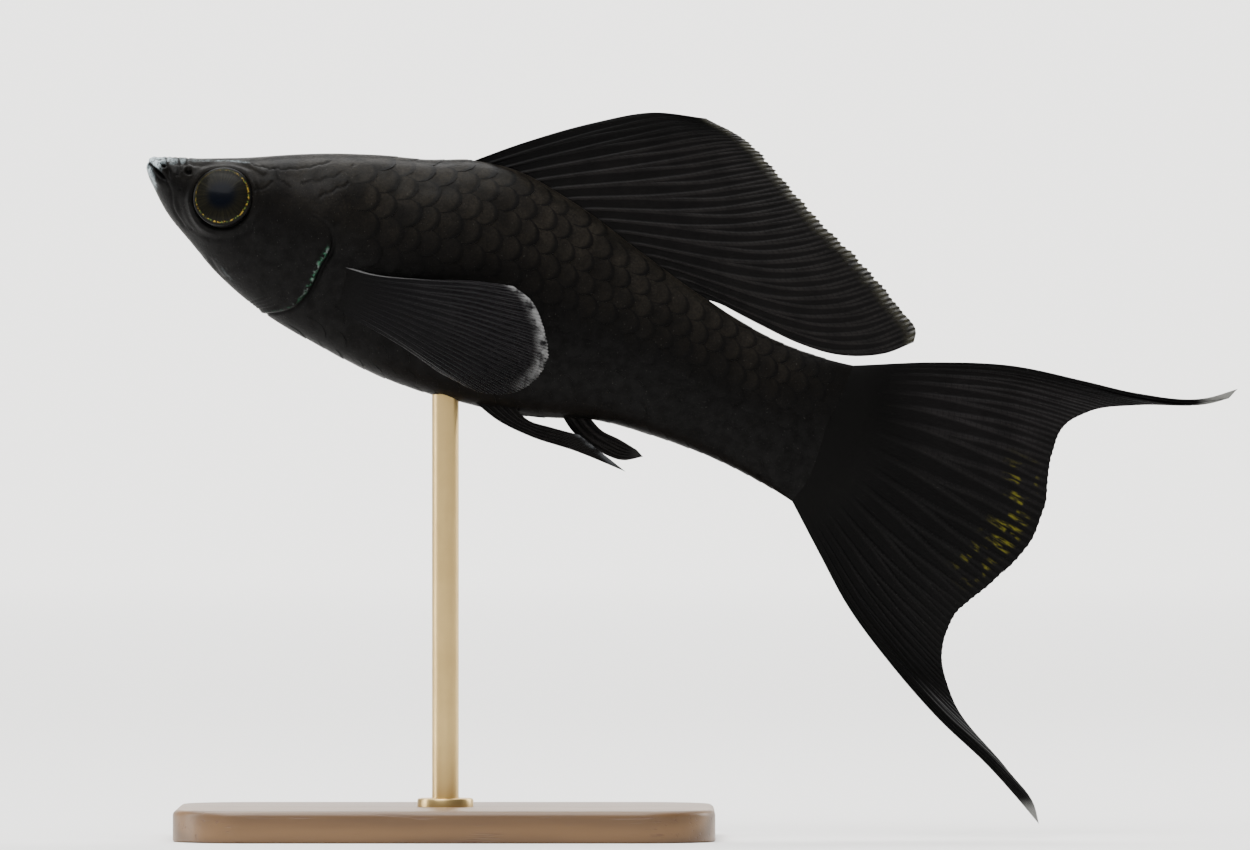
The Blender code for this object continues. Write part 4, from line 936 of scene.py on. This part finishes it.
def bearings(points):
    """The direction of a curve, as a function of the distance along it."""
    steps = np.diff(points, axis=0)
    lengths = np.linalg.norm(steps, axis=1)
    middles = np.cumsum(lengths) - lengths / 2
    return lambda s: np.interp(s, middles, np.arctan2(steps[:, 1], steps[:, 0]))


def first_crossing(path, margin, otherwise):
    """How many steps of a path, and which share of the next, lead up to the margin, if it is met."""
    a, b = path[:-1, None], path[1:, None] - path[:-1, None]
    c, d = margin[None, :-1], margin[None, 1:] - margin[None, :-1]
    turn = b[..., 0] * d[..., 1] - b[..., 1] * d[..., 0]
    turn = np.where(abs(turn) < 1e-9, np.inf, turn)
    gap = c - a
    on_path = (gap[..., 0] * d[..., 1] - gap[..., 1] * d[..., 0]) / turn
    on_margin = (gap[..., 0] * b[..., 1] - gap[..., 1] * b[..., 0]) / turn
    met = (on_path >= 0) & (on_path <= 1) & (on_margin >= 0) & (on_margin <= 1) & np.isfinite(turn)
    crossings = (np.arange(len(path) - 1)[:, None] + on_path)[met]
    return crossings.min() if crossings.size else otherwise


def ray_columns(rays, columns, crowd=0.0):
    """Where each column of a fin lies among its rays, and its share from the first ray to the last."""
    even = np.linspace(0, 1, (rays - 1) * columns + 1)
    share = even - crowd * np.sin(2 * math.pi * even) / (2 * math.pi)
    share[0], share[-1] = 0.0, 1.0
    return even * (rays - 1), share


def ragged(at_ray, seed):
    """How much of each ray's end is worn away, from 0 to 1, with a fresh value for each branch."""
    worn = np.random.default_rng(seed).uniform(0, 1, int(at_ray[-1] * 4) + 2)
    return np.interp(at_ray * 4, np.arange(len(worn)), worn)


def fan_columns(root, lead, trail, margin, rays, rows, seed, between=COLUMNS_A_RAY, crowd=0.0, sunk=0.0,
                worn=1.0):
    """Where each column of a broad fin lies among its rays, and its points in the side view.

    A column starts on the root, turns as the first and the last ray do at the same distance, in
    proportion to how near they are, and ends where it meets the margin, or short of it between rays.
    """
    at_ray, shares = ray_columns(rays, between, crowd)
    edges = ([tuple(root(0.0)), *lead], [tuple(root(1.0)), *trail], margin)
    lead, trail, margin = (curve_through(edge)(np.linspace(0, 1, CURVE_STEPS + 1)).T for edge in edges)
    lead_bearing, trail_bearing = bearings(lead), bearings(trail)
    steps = np.arange(0, MAX_RAY, RAY_STEP) + RAY_STEP / 2
    lengths = [np.linalg.norm(np.diff(edge, axis=0), axis=1).sum() / RAY_STEP for edge in (lead, trail)]
    notch = MARGIN_NOTCH * np.sin(math.pi * at_ray) ** 2 + MARGIN_RAGGED * (ragged(at_ray, seed) - 0.3)
    notch = worn * (notch + TOOTH_DEPTH * (1 - rays_at(at_ray, np.ones(len(at_ray)))))
    grid = []
    for share, short in zip(shares, notch):
        bearing = (1 - share) * lead_bearing(steps) + share * trail_bearing(steps)
        moves = RAY_STEP * np.column_stack([np.cos(bearing), np.sin(bearing)])
        path = root(share) + np.vstack([np.zeros((1, 2)), np.cumsum(moves, axis=0)])
        length = first_crossing(path, margin, (1 - share) * lengths[0] + share * lengths[1])
        length -= short * min(4 * share, 4 * (1 - share), 1) / RAY_STEP
        begin = path[0] - moves[0] / RAY_STEP * sunk
        path = np.vstack([begin, path])
        places = np.linspace(-sunk / RAY_STEP, length, rows + 1)
        places = np.interp(places, [-max(sunk, 1e-6) / RAY_STEP, 0, length], [0, 1, 1 + length])
        grid.append(np.column_stack([np.interp(places, np.arange(len(path)), column) for column in path.T]))
    return at_ray, np.array(grid)


def even_columns(lead, trail, rays, rows):
    """The same for a narrow fin, whose columns lie evenly between its two edges."""
    at_ray, shares = ray_columns(rays, COLUMNS_A_RAY)
    lead, trail = (curve_through(edge)(np.linspace(0, 1, rows + 1)) for edge in (lead, trail))
    return at_ray, np.array([((1 - share) * lead + share * trail).T for share in shares])


def rays_at(at_ray, along, wide=RAY_WIDE):
    """How much of a ray or of its branches is at each place, from 0 to 1."""
    off = abs(at_ray - np.round(at_ray))
    for start, end, apart in (FIRST_FORK, SECOND_FORK):
        off = abs(off - apart * ease(along, start, end))
    width = wide * (1 - RAY_NARROWS * ease(along, 0.15, 0.95))
    return np.exp(-((off / width) ** 4))


def fin_piece(name, columns, at_ray, swell, lean, finish, ray_half=RAY_HALF, wide=RAY_WIDE, sunk=0.0,
              rays_from=(0.0, 0.1), to_world=posed):
    """A fin as one closed sheet with raised rays, from its columns in the side view.

    swell adds to half of the thickness and lean bends the sheet sideways, both by the share across
    the fin and the share from root to margin.
    """
    count, rows = columns.shape[:2]
    steps = np.linalg.norm(np.diff(columns, axis=1), axis=-1)
    run = np.concatenate([np.zeros((count, 1)), np.cumsum(steps, 1)], 1)
    v = np.clip((run - sunk) / (run[:, -1:] - sunk), 0, 1)
    u = np.broadcast_to((at_ray / at_ray[-1])[:, None], v.shape)
    on_ray = rays_at(at_ray[:, None], v, wide) * ease(v, *rays_from)
    x, z = np.moveaxis(columns, -1, 0)
    thick = MEMBRANE_HALF * (1 - MEMBRANE_THINS * v) + swell(u, v)
    thick = thick + (ray_half - MEMBRANE_HALF) * on_ray * (1 - RAY_FLATTENS * v)
    thick *= 1 - MARGIN_THINS * ease(v, 0.93, 1.0)
    y = lean(u, v, x)
    points = np.concatenate([np.stack([x, y + half, z], -1) for half in (-thick, thick)])
    made = piece(name, to_world(points).reshape(-1, 3), sheet_faces(count, rows), finish)
    shape = bmesh.new()
    shape.from_mesh(made.data)
    if shape.calc_volume(signed=True) < 0:
        bmesh.ops.reverse_faces(shape, faces=shape.faces)
        shape.to_mesh(made.data)
    shape.free()
    places = {"ray": on_ray, "run": run, "margin": v, "at_ray": np.broadcast_to(at_ray[:, None], v.shape)}
    wear(made.data, {name: np.concatenate([value, value]) for name, value in places.items()})
    return made


def fin_finish(name, membrane, ray, tip, clear=0.0, clear_from=0.85, flecks=None, lit=None, tip_from=0.86,
               tip_rays=None, rays_from=(-0.1, 0.0), rim=None, tips_at=None):
    """Fin membrane over jointed rays, with lighter rays, and clear in places towards the margin.

    flecks gives the ray that the yellow flecks lie round and how many rays they reach, lit the rays
    between which light is caught, rim an outer ray with a line of painted rim highlight, with its start
    and end, and tips_at the place in the side view that the pale tips of the streamers lie beyond. The
    tip colour paints the pale tips, partly the fins' pale margins and partly painted light caught in
    them, and the rim line.
    """
    made = Finish(name, Specular_IOR_Level=0.035, Coat_Roughness=0.3)
    blend, step, noise, spot = made.blend, made.step, made.noise, made.place()
    on_ray, run, margin, at_ray = (made.attribute(name) for name in ("ray", "run", "margin", "at_ray"))
    lengthwise = made.node("ShaderNodeCombineXYZ", sockets={"X": at_ray * 9.0, "Y": run * 0.7})
    fiber = noise(lengthwise, 1.0, 3.0)
    along = run * 2.1 + 0.3 * at_ray
    joint = step(abs(along.math("FRACT", along) - 0.5), 0.36, 0.5) * on_ray
    light = (0.4 + 0.6 * step(noise(spot, 0.45, 3.0), 0.25, 0.7)) * (1 - 0.45 * joint)
    light = light * (0.25 + 0.75 * on_ray) * step(margin, *rays_from)
    if lit:
        among = step(at_ray, lit[0], lit[0] + 2) * (1 - step(at_ray, lit[1], lit[1] + 4))
        light = light * (0.15 + 0.85 * among)
    root = step(margin, rays_from[0] - 0.1, rays_from[0] + 0.2)
    color = blend(light * (0.7 + 0.3 * fiber), blend(root, SKIN_DARK, membrane), ray)
    if flecks:
        among = 1 - step(abs(at_ray - flecks[0]), 0.5 * flecks[1], flecks[1])
        band = step(margin, 0.74, 0.86) * (1 - step(margin, 0.92, 0.96))
        fleck = step(fiber, 0.40, 0.6) * step(noise(spot, 0.8, 1.0), 0.45, 0.58) * among * band
        color = blend(fleck * step(on_ray, 0.1, 0.8), color, FLECK_YELLOW)
    # The pale tips are partly the fins' pale margins and partly painted light caught in the thin margins.
    if tips_at:
        x, z = (made.node("ShaderNodeSeparateXYZ", sockets={"Vector": spot}, output=axis) for axis in "XZ")
        end = step(x, tips_at[0], tips_at[0] + 1.4) + (1 - step(z, tips_at[1] - 1.4, tips_at[1]))
    else:
        end = step(margin, tip_from, 1.0) * step(noise(spot, 1.4, 3.0), 0.3, 0.62)
    if tip_rays:
        end = end * (1 - step(at_ray, *tip_rays))
    color = blend(end * 0.8, color, tip)
    # The rim line is a painted rim highlight along an outer ray.
    if rim:
        line = (1 - step(abs(at_ray - rim[0]), 0.02, 0.16)) * step(run, rim[1], rim[1] + 2)
        color = blend(line * (1 - step(run, rim[2] - 6, rim[2])) * 0.4, color, tip)
    made.feed(Base_Color=color, Coat_Weight=0.01 + 0.03 * on_ray)
    made.feed(Roughness=0.42 + 0.2 * fiber - 0.06 * on_ray)
    if clear:
        thin = step(margin, clear_from, 1.0) * (1 - on_ray) * (0.5 + 0.5 * step(fiber, 0.3, 0.75))
        made.feed(Alpha=1 - clear * thin)
    relief_shown = step(margin, -0.1, 0.25)
    made.bump((0.6 * fiber + on_ray * (1 - joint)) * relief_shown, 0.5, FIN_GRAIN_DEEP)
    return made


def dorsal_root(u):
    x = DORSAL_ROOT_X[0] + (DORSAL_ROOT_X[1] - DORSAL_ROOT_X[0]) * u
    return np.array([x, back(x) - DORSAL_SUNK * (1 - 0.6 * u)])


at_ray, columns = fan_columns(
    dorsal_root, DORSAL_LEAD, DORSAL_TRAIL, DORSAL_MARGIN, DORSAL_RAYS, DORSAL_ROWS, DORSAL_SEED,
)
dorsal_finish = fin_finish("dorsal_membrane_and_rays", *DORSAL_COLORS, clear=0.35, clear_from=0.94,
                           lit=(1.5, 22.0), tip_from=0.93)
dorsal = fin_piece(
    "dorsal", columns, at_ray, lambda u, v: ROOT_SWELL * (1 - v) ** 6,
    lambda u, v, x: DORSAL_RIPPLE * v * v * np.sin(2 * math.pi * DORSAL_WAVES * u), dorsal_finish,
)
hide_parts("dorsal_fin")
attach(dorsal, "root")


# The tail fin is one lyre-shaped sheet on twenty branched rays. Its outer rays crowd together and
# run on past the others as two long streamers, and its root is fleshy where it leaves the trunk.
TAIL_LEAD = ((65.8, 8.0), (71.8, 10.0), (77.8, 10.95), (82.1, 11.55), (87.5, 13.2), (89.6, 14.8))
TAIL_MARGIN = (
    (89.6, 14.8), (88.9, 13.3), (87.0, 12.35), (82.4, 10.6), (79.0, 8.75), (77.5, 6.9), (77.5, 4.0),
    (78.4, 0.2), (78.4, -2.6), (76.4, -7.6), (74.8, -10.6), (74.9, -14.0), (77.0, -17.1), (83.3, -20.95),
    (86.4, -22.9), (87.3, -24.2),
)
TAIL_TRAIL = (
    (62.6, -10.0), (66.2, -13.1), (71.2, -16.3), (76.5, -19.1), (81.8, -21.3), (85.3, -23.1),
    (87.3, -24.2),
)
TAIL_RAYS, TAIL_CROWD, TAIL_COLUMNS_A_RAY, TAIL_ROWS, TAIL_SEED = 20, 0.8, 20, 96, 22
TAIL_RIPPLE, TAIL_WAVES, TAIL_SWING = 0.5, 1.5, 1.6
TAIL_SWELL, TAIL_SWELL_TO, TAIL_SUNK, TAIL_WORN = 0.84, 0.16, 4.0, 0.3
# The last tail colour paints the pale streamer tips, partly painted light caught in them, and a painted rim
# highlight along the lower outer ray.
TAIL_COLORS = ((0.0019, 0.0018, 0.0018, 1.0), (0.0115, 0.0103, 0.0105, 1.0), (0.2, 0.2, 0.19, 1.0))

tail_edge = curve_through(TAIL_ROOT)


def tail_root(u):
    return tail_edge(u) + np.array([0.3, 0.0])


def tail_swell(u, v):
    share = u - TAIL_CROWD * np.sin(2 * math.pi * u) / (2 * math.pi)
    return TAIL_SWELL * hump(v, TAIL_SWELL_TO) * (4 * share * (1 - share)) ** 0.75


def tail_lean(u, v, x):
    ripple = TAIL_RIPPLE * v * v * np.sin(2 * math.pi * TAIL_WAVES * u)
    return ripple - TAIL_SWING * v**4 * np.cos(math.pi * u)


at_ray, columns = fan_columns(
    tail_root, TAIL_LEAD, TAIL_TRAIL, TAIL_MARGIN, TAIL_RAYS, TAIL_ROWS, TAIL_SEED, TAIL_COLUMNS_A_RAY,
    TAIL_CROWD, TAIL_SUNK, TAIL_WORN,
)
tail_finish = fin_finish("tail_membrane_and_rays", *TAIL_COLORS, flecks=(9.2, 2.6), lit=(1.5, 6.0),
                         rays_from=(0.08, 0.4), rim=(19.0, 8.0, 60.0), tips_at=(61.2, 3.4))
tail = fin_piece("tail", columns, at_ray, tail_swell, tail_lean, tail_finish, sunk=TAIL_SUNK,
                 rays_from=(0.04, 0.45))
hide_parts("tail_fin", "tail_streamer_upper", "tail_streamer_lower")
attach(tail, "root")


# The two pectoral fins are smoky, half clear paddles on thirteen soft rays. Each grows from a short
# muscular root behind the gill cover and is spread out and back from the flank.
PECTORAL_X, PECTORAL_Z = 18.3, -4.0
PECTORAL_SPLAY, PECTORAL_ROLL = math.radians(20.0), math.radians(16.0)
PECTORAL_ROOT = np.array(((-1.2, 1.9), (-1.1, -1.4)))
PECTORAL_LEAD = ((2.2, 2.2), (6.6, 3.3), (11.4, 4.75), (14.2, 5.3))
PECTORAL_MARGIN = (
    (14.2, 5.3), (16.2, 4.7), (18.0, 2.9), (19.0, 0.9), (18.6, -1.0), (17.0, -2.9), (14.4, -3.95),
    (10.2, -3.8),
)
PECTORAL_TRAIL = ((2.6, -1.9), (5.8, -2.5), (10.2, -3.8))
PECTORAL_RAYS, PECTORAL_ROWS, PECTORAL_SEED = 13, 64, 23
PECTORAL_CUP, PECTORAL_CURL, PECTORAL_DIP = 0.9, 1.1, 1.0
PECTORAL_SUNK, PECTORAL_WORN = 1.5, 0.45
PECTORAL_SWELL, PECTORAL_RAY_HALF = 0.5, 0.08
# The last pectoral colour paints the pale tips, partly painted light caught in them, and a painted rim
# highlight along the leading ray.
PECTORAL_COLORS = ((0.0024, 0.0023, 0.0026, 1.0), (0.0080, 0.0075, 0.0080, 1.0), (0.2, 0.2, 0.2, 1.0))

pectoral_finish = fin_finish("pectoral_membrane_and_rays", *PECTORAL_COLORS, clear=0.3, clear_from=0.5,
                             tip_from=0.93, tip_rays=(4.0, 10.0), rays_from=(0.15, 0.6), lit=(-2.0, 4.5),
                             rim=(0.0, 1.6, 11.0))


def pectoral_root(u):
    return (1 - u) * PECTORAL_ROOT[0] + u * PECTORAL_ROOT[1]


at_ray, columns = fan_columns(
    pectoral_root, PECTORAL_LEAD, PECTORAL_TRAIL, PECTORAL_MARGIN, PECTORAL_RAYS, PECTORAL_ROWS,
    PECTORAL_SEED, sunk=PECTORAL_SUNK, worn=PECTORAL_WORN,
)
PECTORALS = (("left_pectoral", "pectoral_fin_left", -1), ("right_pectoral", "pectoral_fin_right", 1))
for name, node, side in PECTORALS:
    turn = np.array(Euler((-side * PECTORAL_ROLL, 0.0, side * PECTORAL_SPLAY)).to_matrix())
    seat = np.array((PECTORAL_X, side * float(flank(PECTORAL_X, PECTORAL_Z)), PECTORAL_Z))

    def bend(u, v, x):
        cup = PECTORAL_CUP * np.sin(math.pi * u) * v * (1 - 0.4 * v)
        return side * (cup - PECTORAL_CURL * v * v - PECTORAL_DIP * (1 - v) ** 7)

    made = fin_piece(
        name, columns, at_ray, lambda u, v: PECTORAL_SWELL * (1 - v) ** 6, bend, pectoral_finish,
        ray_half=PECTORAL_RAY_HALF, sunk=PECTORAL_SUNK, rays_from=(0.1, 0.5),
        to_world=lambda points: posed(points @ turn.T + seat),
    )
    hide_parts(node)
    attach(made, "root")


# The two pelvic fins are small and pointed, on six rays each, and lie close together under the belly.
PELVIC_LEAD = ((31.6, -8.4), (34.0, -9.2), (37.0, -9.5), (41.0, -9.3), (45.4, -9.4))
PELVIC_TRAIL = ((34.6, -7.4), (36.4, -8.3), (38.4, -8.2), (40.8, -7.95))
PELVIC_RAYS, PELVIC_ROWS = 6, 60
PELVIC_HALF_APART, PELVIC_SPREAD = 0.95, 0.075
PELVIC_SWELL, PELVIC_RAY_HALF = 0.12, 0.12
# The last pelvic colour paints the pale tips, partly painted light caught in them, and a painted rim
# highlight along the leading ray.
PELVIC_COLORS = ((0.0026, 0.0023, 0.0023, 1.0), (0.012, 0.011, 0.0105, 1.0), (0.09, 0.095, 0.1, 1.0))

pelvic_finish = fin_finish("pelvic_membrane_and_rays", *PELVIC_COLORS, clear=0.2, rim=(0.0, 0.0, 9.0))
at_ray, columns = even_columns(PELVIC_LEAD, PELVIC_TRAIL, PELVIC_RAYS, PELVIC_ROWS)
for name, node, side in (("left_pelvic", "pelvic_fin_left", -1), ("right_pelvic", "pelvic_fin_right", 1)):
    made = fin_piece(
        name, columns, at_ray, lambda u, v: PELVIC_SWELL * (1 - v) ** 3,
        lambda u, v, x: side * (PELVIC_HALF_APART + PELVIC_SPREAD * (x - PELVIC_LEAD[0][0])), pelvic_finish,
        ray_half=PELVIC_RAY_HALF,
    )
    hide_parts(node)
    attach(made, "root")


# The anal fin of a male is drawn out into a stout, narrow point, stiffened by four thick rays that
# lie almost side by side, with hardly any membrane between them.
ANAL_LEAD = ((38.2, -6.4), (40.2, -7.9), (42.6, -8.6), (44.9, -8.6), (46.3, -7.75))
ANAL_TRAIL = ((40.9, -6.2), (42.4, -6.95), (43.9, -7.1), (45.6, -7.4))
ANAL_RAYS, ANAL_ROWS = 4, 60
ANAL_CORE, ANAL_STOUT, ANAL_RAY_HALF, ANAL_RAY_WIDE = 0.1, 0.32, 0.2, 0.3
# The last anal colour paints the pale tips, partly the margin's own and partly painted light caught in it.
ANAL_COLORS = ((0.0026, 0.0023, 0.0023, 1.0), (0.011, 0.010, 0.0095, 1.0), (0.03, 0.03, 0.028, 1.0))

at_ray, columns = even_columns(ANAL_LEAD, ANAL_TRAIL, ANAL_RAYS, ANAL_ROWS)
anal = fin_piece(
    "anal", columns, at_ray, lambda u, v: ANAL_CORE + ANAL_STOUT * (1 - u) * (1 - v * v),
    lambda u, v, x: 0.0 * x, fin_finish("anal_fin_rays", *ANAL_COLORS), ray_half=ANAL_RAY_HALF,
    wide=ANAL_RAY_WIDE,
)
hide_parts("anal_fin")
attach(anal, "root")


# The camera stands level with the fish off its left side and frames it as the photograph does.
# The light is a soft box overhead, a high fill from the front, two strips for the edges and two washes,
# one over the floor and one over the backdrop.
CAMERA_AWAY, FRAME_WIDTH, FRAME_CENTER = 1200.0, 102.1, (14.67, 33.76)
LIGHTS = (
    ("overhead_box", (-60.0, -120.0, 520.0), (520.0, 420.0), (14.7, 0.0, 33.8), 4.2),
    ("high_fill", (-260.0, -560.0, 660.0), (560.0, 420.0), (14.7, 0.0, 33.8), 5.5),
    ("nose_strip", (-520.0, 60.0, 160.0), (120.0, 420.0), (14.7, 0.0, 33.8), 1.6),
    ("tail_strip", (420.0, 260.0, 260.0), (160.0, 420.0), (14.7, 0.0, 33.8), 2.2),
    ("floor_wash", (0.0, 800.0, 1300.0), (1600.0, 900.0), (0.0, 1200.0, 0.0), 55.0),
    ("backdrop_wash", (0.0, 2100.0, 1300.0), (1600.0, 900.0), (0.0, 2800.0, 200.0), 55.0),
)
AIR, AIR_STRENGTH = (0.86, 0.88, 0.90, 1.0), 0.2

scene = bpy.context.scene
camera = bpy.data.objects.new("camera", bpy.data.cameras.new("camera"))
camera.data.lens = camera.data.sensor_width * CAMERA_AWAY / FRAME_WIDTH
camera.data.clip_start, camera.data.clip_end = 0.01, 20.0
camera.location = Vector((FRAME_CENTER[0], -CAMERA_AWAY, FRAME_CENTER[1])) * MM
camera.rotation_euler = (math.pi / 2, 0.0, 0.0)
scene.collection.objects.link(camera)
scene.camera = camera

for name, place, (wide, high), target, power in LIGHTS:
    light = bpy.data.objects.new(name, bpy.data.lights.new(name, "AREA"))
    light.data.shape = "RECTANGLE"
    light.data.size, light.data.size_y, light.data.energy = wide * MM, high * MM, power
    light.location = Vector(place) * MM
    aim = Vector(target) * MM - light.location
    light.rotation_euler = aim.to_track_quat("-Z", "Y").to_euler()
    scene.collection.objects.link(light)

scene.world = bpy.data.worlds.new("studio_air")
scene.world.use_nodes = True
background = scene.world.node_tree.nodes["Background"].inputs
background["Color"].default_value, background["Strength"].default_value = AIR, AIR_STRENGTH
